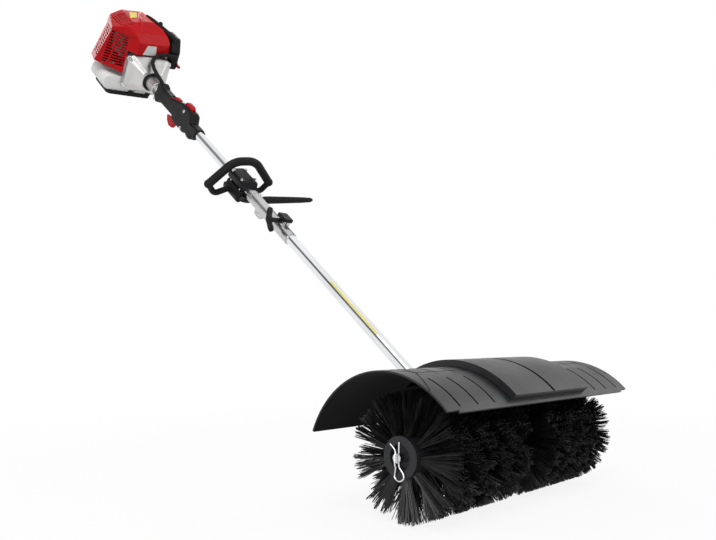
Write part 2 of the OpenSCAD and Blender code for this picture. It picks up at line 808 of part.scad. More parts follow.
module coupler_knob() color("#1d1e20") on_shaft(coupler_t + ear_drop, 0, knob_h) union() {
    side_rod(knob_stud_r, 2 * ear_out + overrun, -ear_out - overrun);
    side_rod(knob_stem_r, knob_stem, -ear_out - knob_stem - fit);
    translate([-ear_out - knob_stem - knob_bar_r, 0, 0]) rotate([knob_angle, 0, 0]) for (s = [0, 180])
        rotate([s, 0, 0]) cylinder(r1 = knob_bar_r + overrun, r2 = knob_bar_end_r, h = knob_bar / 2);
}
module coupler_cap() color("#26272a") on_shaft(coupler_t + ear_drop) difference() {
    translate([-ear_out - ear_cap_t, -ear_h - ear_cap_t, -ear_len / 2 - ear_cap_t])
        cube([2 * (ear_out + ear_cap_t), ear_h + ear_cap_t - knob_h - knob_stem_r - overrun,
            ear_len + 2 * ear_cap_t]);
    translate([-ear_out - fit, -ear_h - fit, -ear_len / 2 - fit])
        cube([2 * (ear_out + fit), ear_h, ear_len + 2 * fit]);
}
module lock_button() color("#b4b7ba") on_shaft(coupler_t + button_at)
    up_rod(button_r, coupler_r + button_travel + button_proud - button_low, button_low);

// Loop handle clamp, handle and barrier bar, all turned round the tube
module on_clamp() on_shaft(clamp_t) rotate([0, 0, -loop_roll]) children();
module on_loop() on_clamp() translate([0, 0, loop_at]) children();
module clamp_screw_places()
    for (x = [-clamp_bolt_x, clamp_bolt_x], t = [-clamp_bolt_t, clamp_bolt_t])
        on_clamp() translate([x, -clamp_h, t]) rotate([90, 0, 0]) children();
module clamp_half(low, high) on_clamp() difference() {
    front_plate(clamp_len, -clamp_len / 2) polygon(rounded(box_outline(clamp_w, low, high), clamp_corner));
    translate([0, 0, -clamp_len]) cylinder(r = tube_r + fit, h = 2 * clamp_len);
}
module clamp_cap() color("#202123") difference() {
    clamp_half(clamp_split, clamp_h);
    clamp_screw_places() screw_hole(clamp_h + overrun);
}
module clamp_base() color("#17181a") difference() {
    union() {
        clamp_half(-clamp_low, -clamp_split);
        on_clamp() front_plate(clamp_len, -clamp_len / 2) translate([-bar_side, -bar_dip]) {
            circle(r = bar_d / 2 + bar_boss);
            translate([-bar_d / 2 - bar_boss, 0]) square([bar_d + 2 * bar_boss, bar_dip - tube_r]);
        }
    }
    clamp_screw_places() screw_hole(clamp_screw_len);
    bar_rod(fit);
    on_loop() for (s = [0, 1]) mirror([s, 0, 0]) loop_root_rod(fit);
}
module clamp_screws() color("#c9ccd0") clamp_screw_places() screw(clamp_screw_len);

// The loop: a padded hairpin whose ends sink into the clamp's lower half
loop_x = loop_width / 2 - loop_d / 2;
loop_low_x = loop_x * loop_low_share;
loop_top = loop_rise - loop_d / 2;
loop_crown = loop_x * loop_crown_share;
function leg_turn(a, b, c) =
    let (u = b - a, w = c - b, raw = atan2(w.y, w.x) - atan2(u.y, u.x))
    raw > 180 ? raw - 360 : raw < -180 ? raw + 360 : raw;
function bend_back(pts, i, r) =
    i <= 0 || i >= len(pts) - 1 ? 0 : r * tan(abs(leg_turn(pts[i - 1], pts[i], pts[i + 1])) / 2);
function path_legs(pts, radii) =
    [for (i = [0:len(pts) - 2]) [norm(pts[i + 1] - pts[i]) - bend_back(pts, i, radii[i])
        - bend_back(pts, i + 1, radii[i + 1]), radii[i + 1],
        i == len(pts) - 2 ? 0 : leg_turn(pts[i], pts[i + 1], pts[i + 2])]];
module path_rod(r, pts, radii) translate([pts[0].x, pts[0].y, 0])
    rotate([0, 0, atan2(pts[1].y - pts[0].y, pts[1].x - pts[0].x)]) bent_rod(r, path_legs(pts, radii));
module loop_root_rod(grow) rotate([180, 0, 0]) path_rod(loop_bar_d / 2 + grow,
    [[loop_root_x, -loop_root_dip], [loop_low_x, -loop_low_dip], [loop_x, -loop_side_dip]],
    [0, loop_corner, 0]);
module loop_handle() color("#1b1c1e") on_loop() {
    for (s = [0, 1]) mirror([s, 0, 0]) loop_root_rod(0);
    rotate([180, 0, 0]) path_rod(loop_d / 2, [[-loop_x, -loop_side_dip],
        [-loop_x * loop_top_share, loop_top], [loop_x * loop_top_share, loop_top],
        [loop_x, -loop_side_dip]], [0, loop_crown, loop_crown, 0]);
    for (s = [-1, 1]) translate([s * loop_x, loop_side_dip, 0]) sphere(r = loop_d / 2 + loop_swell);
}

// The barrier bar: an arm along the tube, a bend under it and a tapered bar to the left
bar_start = bar_bend * (1 - cos(bar_turn)) - bar_side;
module bar_rod(grow) on_clamp() translate([-bar_side, bar_dip, bar_back]) rotate([0, 90, 0])
    rotate([90, 0, 0]) bent_rod(bar_d / 2 + grow, [[bar_arm + bar_back, bar_bend, bar_turn],
    [overrun, bar_bend, 0]]);
module barrier_bar() color("#202224") {
    bar_rod(0);
    on_clamp() translate([bar_start, bar_dip, -bar_arm - bar_bend * sin(bar_turn)])
        rotate([0, 90 - bar_turn, 0])
        side_rod_taper(bar_d / 2 - 2 * bend_step, bar_tip_d / 2, bar_reach + bar_side - bar_bend);
}
module side_rod_taper(r1, r2, len) rotate([0, 90, 0]) {
    cylinder(r1 = r1, r2 = r2, h = len);
    translate([0, 0, len]) sphere(r = r2);
}

// Rear grip: two shells split on the middle plane, with cavities for the trigger, lever and switch
grip_outline = [[0, -grip_collar_r], [grip_nose, -grip_collar_r], [grip_lug_from, -grip_lug],
    [grip_lug_to, -grip_lug], [grip_notch_at, -grip_notch], [grip_chin, -grip_belly],
    [trigger_at, -grip_belly], [trigger_at + grip_chamfer, -grip_waist], [grip_len - grip_flare, -grip_waist],
    [grip_len - grip_lip, -grip_heel], [grip_len, -grip_heel], [grip_len, grip_tail],
    [grip_len - grip_lip, grip_tail], [grip_len - grip_flare, grip_thin], [grip_back, grip_thin],
    [grip_brow, grip_crown], [grip_crest, grip_crown], [grip_neck, grip_collar_r], [0, grip_collar_r]];
grip_face = [for (p = grip_outline) [p[0], p[1] - sign(p[1]) * grip_edge]];
module on_grip(t = 0, h = 0) on_shaft(grip_t + t, 0, h) children();
module lever_cavity(from, to, low, high)
    translate([-lever_half - lever_gap, -high, from])
        cube([2 * (lever_half + lever_gap), high - low, to - from]);
module grip_screw_places()
    for (p = grip_screws) on_grip(p[0], p[1]) translate([-grip_half, 0, 0]) rotate([0, -90, 0]) children();
module grip_shell(side) difference() {
    on_grip() difference() {
        mirror([side, 0, 0]) {
            side_plate(grip_half - grip_edge) polygon(rounded(grip_outline, grip_edge));
            side_plate(grip_half) polygon(rounded(grip_face, grip_edge / 2));
        }
        translate([0, 0, -overrun]) cylinder(r = tube_r + fit, h = grip_len + 2 * overrun);
        lever_cavity(trigger_at - trigger_gap, trigger_at + trigger_len + trigger_gap, -grip_belly - overrun,
            -tube_r - wall_min);
        lever_cavity(lock_at - lock_len - trigger_gap, lock_at + trigger_gap, tube_r + wall_min,
            grip_crown + overrun);
        lever_cavity(switch_at - switch_len / 2 - lever_gap,
            switch_at + switch_len / 2 + switch_travel + lever_gap, grip_crown - switch_deep - lever_gap,
            grip_crown + overrun);
        translate([0, trigger_dip, trigger_at]) side_rod(pivot_r + fit, 2 * pin_half, -pin_half);
        translate([0, -lock_h, lock_at - pin_back]) side_rod(pivot_r + fit, 2 * pin_half, -pin_half);
    }
    grip_screw_places() screw_hole(grip_screw_len);
    on_shaft() conduit_tube(conduit_d / 2 + fit);
}
module grip_right_shell() color("#1b1c1e") grip_shell(1);
module grip_left_shell() color("#1b1c1e") grip_shell(0);
module throttle_trigger() color("#c8231f") on_grip(trigger_at, -trigger_dip) {
    side_plate(2 * lever_half, -lever_half) polygon(rounded([for (p = trigger_shares)
        [p[0] * trigger_len, p[1] * trigger_drop]], trigger_round));
    side_rod(pivot_r, 2 * pin_half - 2 * fit, fit - pin_half);
}
module lockout_lever() color("#c8231f") on_grip(lock_at - pin_back, lock_h) {
    side_plate(2 * lever_half, -lever_half) polygon(rounded([for (p = lock_shares)
        [p[0] * lock_len, p[1] * lock_rise]], trigger_round));
    side_rod(pivot_r, 2 * pin_half - 2 * fit, fit - pin_half);
}
module stop_switch() color("#c8231f") on_grip(switch_at) side_plate(2 * lever_half, -lever_half)
    polygon(rounded([[-switch_len / 2, grip_crown - switch_deep], [switch_len / 2, grip_crown - switch_deep],
        [switch_len / 2, grip_crown + switch_h / 2], [switch_len / 4, grip_crown + switch_h],
        [-switch_len / 4, grip_crown + switch_h], [-switch_len / 2, grip_crown + switch_h / 2]],
        switch_round));

// Throttle conduit: a tube swept along its route, each ring square to the path
function route_point(i) = [conduit_route[i][0], -conduit_route[i][2], conduit_route[i][1]];
function route_dir(i) = unit(route_point(min(i + 1, len(conduit_route) - 1)) - route_point(max(i - 1, 0)));
function ring_points(i, r) = let (d = route_dir(i), v = unit(cross(conduit_up, d)), w = cross(d, v))
    [for (k = [0:conduit_sides - 1]) route_point(i) + r * (cos(360 * k / conduit_sides) * v
        + sin(360 * k / conduit_sides) * w)];
module conduit_tube(r) {
    n = conduit_sides;
    last = len(conduit_route) - 1;
    polyhedron([for (i = [0:last]) each ring_points(i, r)], concat(
        [for (i = [0:last - 1], k = [0:n - 1]) each quad(n * i + k, n * (i + 1) + k,
            n * (i + 1) + (k + 1) % n, n * i + (k + 1) % n)],
        [for (k = [1:n - 2]) [0, k, k + 1]],
        [for (k = [1:n - 2]) [n * last, n * last + k + 1, n * last + k]]));
}
module throttle_conduit() color("#141415") on_shaft() conduit_tube(conduit_d / 2);

// Clutch case: a neck that holds the tube, a flared nose and a deep rim
case_outline = rounded(box_outline(case_w, -case_down, case_up), case_corner);
module case_screw_places()
    for (x = [-case_boss_x, case_boss_x], h = [-case_boss_low, case_boss_high])
        on_engine(case_depth - case_boss_len, x, h) rotate([180, 0, 0]) children();
module clutch_case() color("#b9bbbd") difference() {
    union() {
        on_engine(-neck_len) cylinder(r = neck_r, h = neck_len + case_flare / 2);
        on_engine(case_flare) rotate([180, 0, 0]) linear_extrude(case_flare, scale = case_nose_share)
            polygon(case_outline);
        on_engine() front_plate(case_depth - case_flare + fit, case_flare - fit) polygon(case_outline);
        case_screw_places() translate([0, 0, fit - case_boss_len])
            cylinder(r = case_boss_r, h = case_boss_len - fit);
    }
    case_screw_places() {
        screw_hole();
        cylinder(r = screw_head_r + seat_gap, h = case_flare);
    }
    on_engine(-neck_len - overrun) cylinder(r = tube_r + fit, h = neck_len - tube_end + overrun);
    on_engine(-neck_len) cylinder(r = journal_r + move_gap, h = neck_len + case_flare);
    on_engine(bearing_start) cylinder(r = small_bearing_r + fit, h = 2 * small_bearing_w + seat_gap);
    on_engine(drum_start - move_gap) cylinder(r = drum_r + drum_wall, h = case_depth);
    on_engine(wheel_start - fin_t) cylinder(r = flywheel_r + fin_t, h = case_depth);
}
crank_mid = (case_depth + crank_end) / 2;
module engine_bearings() color("#b9bcc0")
    for (t = [bearing_start, bearing_start + small_bearing_w + seat_gap, case_depth + wall,
            crank_end - wall - small_bearing_w])
        on_engine(t) ring(small_bearing_r, journal_r + fit, small_bearing_w);
stub_start = -tube_end / 2 - drive_socket;
module clutch_drum() color("#85898e") on_engine() difference() {
    union() {
        translate([0, 0, stub_start]) cylinder(r = journal_r, h = drum_start - stub_start + overrun);
        translate([0, 0, drum_start]) cylinder(r = drum_r, h = drum_end - drum_start);
    }
    translate([0, 0, drum_start + drum_wall]) cylinder(r = drum_r - drum_wall, h = drum_end);
    translate([0, 0, stub_start - overrun]) cylinder(r = drive_r + fit, h = drive_socket + overrun + fit);
}
shoe_r = drum_r - drum_wall - shoe_gap;
module clutch_shoes() color("#6f5a46") on_engine() for (s = [-1, 1]) {
    difference() {
        translate([0, 0, drum_end - shoe_w - overrun]) ring(shoe_r, shoe_r / 2, shoe_w);
        translate([s > 0 ? -drum_r : -shoe_gap, -drum_r, 0])
            cube([drum_r + shoe_gap, 2 * drum_r, case_depth]);
    }
    translate([s * shoe_r * shoe_pin_share, 0, drum_end - overrun])
        cylinder(r = pin_r, h = wheel_start - drum_end + overrun);
}
module flywheel() color("#9da1a5") on_engine() difference() {
    union() {
        translate([0, 0, (wheel_start + wheel_end) / 2])
            cylinder(r = flywheel_r, h = (wheel_end - wheel_start) / 2);
        translate([0, 0, wheel_start]) cylinder(r = flywheel_r / 2 + pin_r, h = wheel_end - wheel_start);
        for (i = [0:flywheel_fins - 1]) rotate([0, 0, 360 * i / flywheel_fins])
            translate([flywheel_r / 2, -fin_t / 2, wheel_start + fit])
            cube([flywheel_r / 2 - fin_t, fin_t, wheel_end - wheel_start - 2 * fit]);
    }
    translate([0, 0, wheel_start - overrun]) cylinder(r = journal_r + fit, h = wheel_end);
}

// Crankcase, crank, rod and piston: the piston is drawn at the top of its stroke
module crankcase() color("#a4a7aa") on_engine() difference() {
    union() {
        front_plate(2 * wall, case_depth) polygon(case_outline);
        translate([0, 0, case_depth]) cylinder(r = crankcase_r, h = crank_end - case_depth);
        level_plate(cylinder_foot) translate([0, crank_mid])
            square(2 * (bore_r + cylinder_wall + wall), center = true);
    }
    translate([0, 0, case_depth + crank_wall])
        cylinder(r = crank_cavity_r, h = crank_end - case_depth - 2 * crank_wall);
    translate([0, 0, crank_mid]) up_rod(bore_r + fit, cylinder_foot + overrun);
    translate([0, 0, case_depth - overrun]) cylinder(r = journal_r + move_gap, h = crank_end);
    for (t = [case_depth + wall, crank_end - wall - small_bearing_w])
        translate([0, 0, t]) cylinder(r = small_bearing_r + fit, h = small_bearing_w);
    for (x = [-case_boss_x, case_boss_x], h = [-case_boss_low, case_boss_high])
        translate([x, -h, case_depth - overrun]) cylinder(r = screw_r + fit, h = screw_len);
}
web_in = rod_w / 2 + rod_gap;
module crankshaft() color("#8f9398") on_engine() {
    translate([0, 0, wheel_start + fin_t])
        cylinder(r = journal_r, h = crank_mid - web_in - wheel_start - fin_t);
    translate([0, 0, crank_mid - web_in - web_w]) cylinder(r = web_r, h = web_w);
    translate([0, 0, crank_mid + web_in]) cylinder(r = web_r, h = web_w);
    translate([0, 0, crank_mid + web_in])
        cylinder(r = journal_r, h = crank_end + crank_wall - crank_mid - web_in);
}
crankpin_h = stroke / 2;
piston_pin_h = crankpin_h + rod_len;
module connecting_rod() color("#8f9398") on_engine(crank_mid) difference() {
    union() {
        translate([0, -crankpin_h, -rod_w / 2]) cylinder(r = rod_big_r, h = rod_w);
        translate([0, -crankpin_h, rod_gap / 2 - web_in]) cylinder(r = crankpin_r, h = 2 * web_in - rod_gap);
        translate([0, -piston_pin_h, -rod_w / 2]) cylinder(r = rod_small_r, h = rod_w);
        translate([-rod_shank / 2, -piston_pin_h, -rod_w / 2]) cube([rod_shank, rod_len, rod_w]);
    }
    translate([0, -piston_pin_h, -rod_w]) cylinder(r = pin_r + fit, h = 2 * rod_w);
}
module piston() color("#b7babd") on_engine(crank_mid) {
    difference() {
        up_rod(bore_r - fit, piston_up + piston_down, piston_pin_h - piston_down);
        translate([-rod_small_r - rod_gap, -piston_pin_h - rod_small_r - rod_gap, -rod_w / 2 - rod_gap / 2])
            cube([2 * (rod_small_r + rod_gap), rod_small_r + rod_gap + piston_down + overrun,
                rod_w + rod_gap]);
    }
    translate([0, -piston_pin_h, -bore_r / 2 - rod_gap]) cylinder(r = pin_r, h = bore_r + 2 * rod_gap);
}
chamber_h = piston_pin_h + piston_up + rod_gap;
cylinder_h = chamber_h + head_h - cylinder_foot;
module cylinder_block() color("#9fa2a5") on_engine(crank_mid) difference() {
    union() {
        up_rod(bore_r + cylinder_wall, cylinder_h, cylinder_foot);
        for (i = [0:fin_count - 1])
            up_rod(fin_r, fin_t, cylinder_foot + (cylinder_h - fin_t) * i / (fin_count - 1));
        translate([-port_reach, -exhaust_low - exhaust_h, -port_w / 2]) cube([port_reach, exhaust_h, port_w]);
        translate([0, -carb_low - carb_h, -port_w / 2])
            cube([port_reach, carb_h + carb_low - cylinder_foot, port_w]);
    }
    up_rod(bore_r, chamber_h - cylinder_foot + overrun, cylinder_foot - overrun);
    translate([-fin_r, -chamber_h - head_h, case_depth + 2 * wall + seat_gap - crank_mid - fin_r])
        cube([2 * fin_r, cylinder_h, fin_r]);
    up_rod(plug_r + fit, chamber_h + head_h);
}
module spark_plug() color("#e3e0d8") on_engine(crank_mid) {
    up_rod(plug_r, head_h, chamber_h + rod_gap / 2);
    translate([0, -chamber_h - head_h, 0]) rotate([90, 0, 0]) cylinder(r = plug_hex_r, h = head_h, $fn = 6);
    up_rod(plug_r, 2 * head_h, chamber_h + head_h);
}

// Exhaust side
module muffler() color("#6d6f72") on_engine(muffler_at) {
    front_plate(muffler_l) translate([-port_reach - muffler_w / 2, 0])
        polygon(rounded(box_outline(muffler_w, muffler_low, muffler_low + muffler_h), muffler_round));
    translate([0, -muffler_low - muffler_h / 3, 2 * muffler_l / 3])
        side_rod(outlet_r, outlet_len + overrun, -port_reach - muffler_w - outlet_len);
}

// Red shroud: what a plan, a side view and a front view have in common, hollowed by the wall
function shroud_plan(w, back) = [[shroud_left - w, shroud_front + shroud_nib + w],
    [shroud_left - 2 * shroud_nib, shroud_front + w], [-shroud_step, shroud_front + w],
    [-shroud_right + shroud_nib / 2 + w, shroud_chamfer_t + w / 2], [-shroud_right + w, back],
    [shroud_left - w, back]];
function shroud_side(w, back) = concat([[shroud_front + w, shroud_skirt - w]],
    [for (p = shroud_side_shares)
        [shroud_front + w + p[0] * shroud_rake, p[1] * shroud_top - (p[0] > 0 ? w : 0)]],
    [[back, shroud_top - shroud_nib - w], [back, shroud_skirt - w]]);
function cover_arch(shares, w) = [for (p = shares)
    [p[0] * (p[0] < 0 ? shroud_right : shroud_left) - sign(p[0]) * w,
        p[1] * shroud_top - (abs(p[0]) < 1 ? w : 0)]];
function shroud_face(w) = concat([[w - shroud_right, shroud_skirt - w]], cover_arch(shroud_arch_shares, w),
    [[shroud_left - w, shroud_sill - w], [w - shroud_step, shroud_sill - w],
        [w - shroud_step, shroud_skirt - w]]);
module shroud_form(w, back, r) intersection() {
    level_plate(shroud_top - shroud_skirt + 4 * w, shroud_skirt - 2 * w)
        polygon(rounded(shroud_plan(w, back), r));
    side_plate(shroud_right + shroud_left, -shroud_right) polygon(shroud_side(w, back));
    front_plate(back, overrun) polygon(shroud_face(w));
}
slant = [shroud_right - shroud_nib / 2 - shroud_step, shroud_chamfer_t - shroud_front];
module engine_shroud() color("#b3161b") on_engine() difference() {
    shroud_form(0, shroud_back, shroud_corner);
    shroud_form(wall, shroud_back + shroud_corner, shroud_corner - wall);
    for (i = [0:slot_rows - 1]) translate([0, -slot_low - slot_pitch * i, 0]) {
        translate([-shroud_step - slant[0] / 2, 0, shroud_front + slant[1] / 2])
            rotate([0, atan2(slant[1], slant[0]), 0]) cube([slot_run, slot_h, 4 * wall], center = true);
        translate([-shroud_right, 0, (shroud_chamfer_t + shroud_back) / 2])
            cube([6 * wall, slot_h, side_slot_run], center = true);
    }
}

// Intake side
carb_out = port_reach + carb_w;
filter_step = case_up + seat_gap;
filter_in = case_boss_x + case_boss_r + seat_gap;
filter_back = case_depth + 2 * wall + seat_gap;
module on_bulb() on_engine(crank_mid, port_reach + carb_w / 2, carb_low) children();
module carburettor() color("#8a8d90") difference() {
    on_engine(crank_mid - carb_l / 2, port_reach, carb_low + carb_h) cube([carb_w, carb_h, carb_l]);
    on_bulb() up_rod(bulb_r + move_gap, overrun + bulb_seat + bulb_travel + move_gap, -overrun);
}
module primer_bulb() color("#d8a020") on_bulb() {
    up_rod(bulb_r, bulb_travel + 3 * bulb_seat, -bulb_travel - 2 * bulb_seat);
    translate([0, bulb_travel + 2 * bulb_seat, 0]) sphere(r = bulb_r);
}
module air_filter_cover() color("#1a1b1d") on_engine() difference() {
    side_plate(filter_w, carb_out) polygon(rounded([[filter_from, filter_low], [filter_to, filter_low],
        [filter_to, filter_high - filter_corner], [filter_to - filter_corner, filter_high],
        [filter_from + filter_corner, filter_high], [filter_from, filter_high - 2 * filter_corner]],
        filter_corner / 2));
    translate([0, -choke_h, choke_at]) side_rod(choke_r + fit, filter_w, carb_out + filter_w / 2);
    translate([carb_out - overrun, -filter_step, filter_from - overrun]) cube([filter_in - carb_out + overrun,
        filter_step - filter_low + overrun, filter_back - filter_from + overrun]);
}
module choke_lever() color("#c8231f") on_engine(choke_at, carb_out + filter_w, choke_h) {
    side_rod(choke_r, filter_w / 2, overrun - filter_w / 2);
    side_plate(lever_half, seat_gap) union() {
        circle(r = 2 * choke_r);
        translate([-choke_len, -choke_r]) square([choke_len, 2 * choke_r]);
        translate([-choke_len, 0]) circle(r = choke_r);
    }
}

// Fuel tank, its cap and the stand under it
module tank_form(w) difference() {
    front_plate(tank_to - tank_from - 2 * w, tank_from + w)
        translate([-tank_shift, 0])
        polygon(rounded(box_outline(tank_w - 2 * w, w - tank_drop, tank_top - w), tank_corner - w));
    cylinder(r = tank_saddle + w, h = tank_to + overrun);
}
module fuel_tank() color("#e9e9e4") on_engine() difference() {
    union() {
        tank_form(0);
        translate([-tank_shift, filler_dip, filler_at]) side_rod(filler_r, tank_w / 2 + filler_len, 0);
    }
    tank_form(wall);
    translate([-tank_shift, filler_dip, filler_at]) side_rod(filler_r - wall, tank_w, tank_w / 4);
    cylinder(r = tank_saddle, h = tank_to + overrun);
}
module fuel_cap() color("#151517") on_engine(filler_at, tank_w / 2 - tank_shift + seat_gap, -filler_dip)
    difference() {
        side_rod(cap_r, cap_h);
        side_rod(filler_r + seat_gap, filler_len + overrun, -overrun);
    }
module engine_stand() color("#161618") on_engine() {
    translate([-stand_shift, 0, 0]) level_plate(stand_t, -tank_drop - stand_t) difference() {
        polygon(rounded(box_outline(stand_w, case_depth, stand_to), stand_bar));
        polygon(rounded(box_outline(stand_w - 2 * stand_bar, case_depth + stand_bar, stand_to - stand_bar),
            stand_bar / 2));
    }
    for (x = [-post_x, post_x]) translate([x - post_w / 2, case_down, case_depth])
        cube([post_w, tank_drop - case_down, post_l]);
}

// Recoil starter: a back plate with a drum, a pulley on its post and a pull handle
recoil_cavity_r = rope_x + rope_r + move_gap;
recoil_rim = sqrt(recoil_r * recoil_r - (rope_x - pull_r) * (rope_x - pull_r));
rope_t = recoil_t + recoil_deep / 3;
module recoil_housing() color("#191a1c") on_engine(shroud_back) difference() {
    union() {
        front_plate(recoil_t) polygon(rounded(concat([[-recoil_right, recoil_low]],
            cover_arch(recoil_arch_shares, 0), [[shroud_left, recoil_low]]), recoil_t / 2));
        translate([0, 0, recoil_t]) cylinder(r = recoil_r, h = recoil_deep);
        for (x = [-leg_x, leg_x], h = [-leg_h, leg_h])
            translate([x, h, crank_end - shroud_back])
                cylinder(r = recoil_leg, h = shroud_back - crank_end + overrun);
    }
    difference() {
        translate([0, 0, -overrun])
            cylinder(r = recoil_cavity_r, h = recoil_t + recoil_deep - wall + overrun);
        translate([0, 0, recoil_t]) cylinder(r = post_r, h = recoil_deep);
    }
    translate([rope_x, 0, rope_t]) up_rod(rope_r + seat_gap, recoil_r + overrun);
}
module starter_pulley() color("#2c2d30") on_engine(shroud_back + rope_t - pulley_w / 2)
    ring(pulley_r, post_r + fit, pulley_w);
module starter_handle() color("#1a1b1d") on_engine(shroud_back + rope_t, rope_x) {
    up_rod(rope_r, recoil_rim + pull_stem);
    up_rod(pull_r - overrun, pull_stem, recoil_rim + seat_gap);
    translate([0, -recoil_rim - pull_stem - pull_r / 2, 0]) side_rod(pull_r, pull_bar, -pull_bar / 2);
}

// Screws of the fixed frame
module frame_screws() color("#a7aaae") {
    cover_screw_places() screw();
    bracket_screw_places() screw();
    guard_screw_places() screw(guard_screw_len);
    case_screw_places() screw();
    grip_screw_places() screw(grip_screw_len);
}

brush_guard();
guard_bracket();
gearbox_housing();
gearbox_cover();
frame_screws();
axle_bearings();
worm_bearings();
worm_shaft();
worm_wheel();
brush_shaft();
left_brush_core();
right_brush_core();
left_bristles();
right_bristles();
left_clip();
right_clip();
lower_tube();
lower_drive_shaft();
drive_bushes();
marking_strip();
coupler_body();
coupler_knob();
coupler_cap();
lock_button();
upper_tube();
upper_drive_shaft();
clamp_base();
clamp_cap();
clamp_screws();
loop_handle();
barrier_bar();
grip_right_shell();
grip_left_shell();
throttle_trigger();
lockout_lever();
stop_switch();
throttle_conduit();
clutch_case();
engine_bearings();
clutch_drum();
clutch_shoes();
flywheel();
crankcase();
crankshaft();
connecting_rod();
piston();
cylinder_block();
spark_plug();
muffler();
engine_shroud();
carburettor();
air_filter_cover();
choke_lever();
primer_bulb();
fuel_tank();
fuel_cap();
engine_stand();
recoil_housing();
starter_pulley();
starter_handle();
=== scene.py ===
import json
import math
import random

import bmesh
import bpy
from mathutils import Matrix, Vector


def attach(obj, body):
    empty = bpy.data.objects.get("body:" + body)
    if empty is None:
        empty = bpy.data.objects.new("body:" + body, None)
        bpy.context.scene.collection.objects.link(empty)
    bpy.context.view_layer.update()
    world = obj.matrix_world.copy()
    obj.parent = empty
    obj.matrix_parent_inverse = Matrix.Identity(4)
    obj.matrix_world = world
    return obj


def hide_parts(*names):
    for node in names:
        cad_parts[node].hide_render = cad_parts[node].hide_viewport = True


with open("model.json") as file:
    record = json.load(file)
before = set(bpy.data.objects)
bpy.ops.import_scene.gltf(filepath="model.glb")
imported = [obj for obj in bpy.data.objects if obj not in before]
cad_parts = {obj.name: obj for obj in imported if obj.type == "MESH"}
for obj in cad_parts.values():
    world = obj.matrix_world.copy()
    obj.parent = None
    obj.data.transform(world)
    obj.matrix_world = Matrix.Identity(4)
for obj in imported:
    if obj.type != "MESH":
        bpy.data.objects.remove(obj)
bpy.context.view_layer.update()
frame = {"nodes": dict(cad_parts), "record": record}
nodes = frame["nodes"]
scene = bpy.context.scene

MM = 0.001
# Sizes of the CAD frame that the pieces here follow, in metres
SLOPE = math.radians(40)
SHAFT_BASE = Vector((0, 0.039 * math.sin(SLOPE), 0.103 - 0.039 * math.cos(SLOPE)))
ALONG = Vector((0, math.cos(SLOPE), math.sin(SLOPE)))
UP = Vector((0, -math.sin(SLOPE), math.cos(SLOPE)))
SIDE = Vector((1, 0, 0))
ENGINE_T = 1.542
ROLL = math.radians(7)
ENGINE_SIDE = SIDE * math.cos(ROLL) + UP * math.sin(ROLL)
ENGINE_UP = UP * math.cos(ROLL) - SIDE * math.sin(ROLL)
GUARD_Y, GUARD_Z, GUARD_R = 0.003, 0.071, 0.166
BRUSH_R = 0.103
AXLE_Z = 0.103
CORE_R = 0.033
HALF_GAP = 0.029
HALF_BRUSH = 0.26


def shaft_point(x, t, h):
    """A point of the shaft's frame: sideways, along the tube and square to it, in metres."""
    return SHAFT_BASE + SIDE * x + ALONG * t + UP * h


def engine_point(x, t, h):
    """A point of the engine's frame, which is rolled a little round the tube."""
    return shaft_point(0, ENGINE_T + t, 0) + ENGINE_SIDE * x + ENGINE_UP * h


# ---------------------------------------------------------------- materials
class Graph:
    """A small helper round one material's node tree."""

    def __init__(self, name):
        self.material = bpy.data.materials.new(name)
        self.material.use_nodes = True
        self.tree = self.material.node_tree
        self.bsdf = self.tree.nodes["Principled BSDF"]
        self.coords = self.add("ShaderNodeTexCoord").outputs["Object"]

    def add(self, kind, **sockets):
        node = self.tree.nodes.new(kind)
        for key, value in sockets.items():
            self.put(node.inputs[key.replace("_", " ")], value)
        return node

    def put(self, socket, value):
        if isinstance(value, bpy.types.NodeSocket):
            self.tree.links.new(value, socket)
        else:
            socket.default_value = value

    def noise(self, scale, detail=4.0, rough=0.55):
        node = self.add("ShaderNodeTexNoise", Vector=self.coords, Scale=scale, Detail=detail, Roughness=rough)
        return node.outputs["Fac"]

    def between(self, fac, low, high):
        """The middle range of a noise, spread from low to high."""
        node = self.add("ShaderNodeMapRange", Value=fac, From_Min=0.3, From_Max=0.7, To_Min=low, To_Max=high)
        return node.outputs["Result"]

    def math(self, operation, a, b):
        node = self.add("ShaderNodeMath")
        node.operation = operation
        self.put(node.inputs[0], a)
        self.put(node.inputs[1], b)
        return node.outputs[0]

    def mix(self, fac, a, b):
        node = self.add("ShaderNodeMix")
        node.data_type = "RGBA"
        self.put(node.inputs["Factor"], fac)
        for socket, value in ((node.inputs[6], a), (node.inputs[7], b)):
            self.put(socket, (*value, 1) if isinstance(value, tuple) and len(value) == 3 else value)
        return node.outputs[2]

    def bump(self, height, strength, distance, normal=None):
        node = self.add("ShaderNodeBump", Height=height, Strength=strength, Distance=distance)
        if normal is not None:
            self.put(node.inputs["Normal"], normal)
        return node.outputs["Normal"]


def shade(colour, k):
    return tuple(min(1.0, c * k) for c in colour)


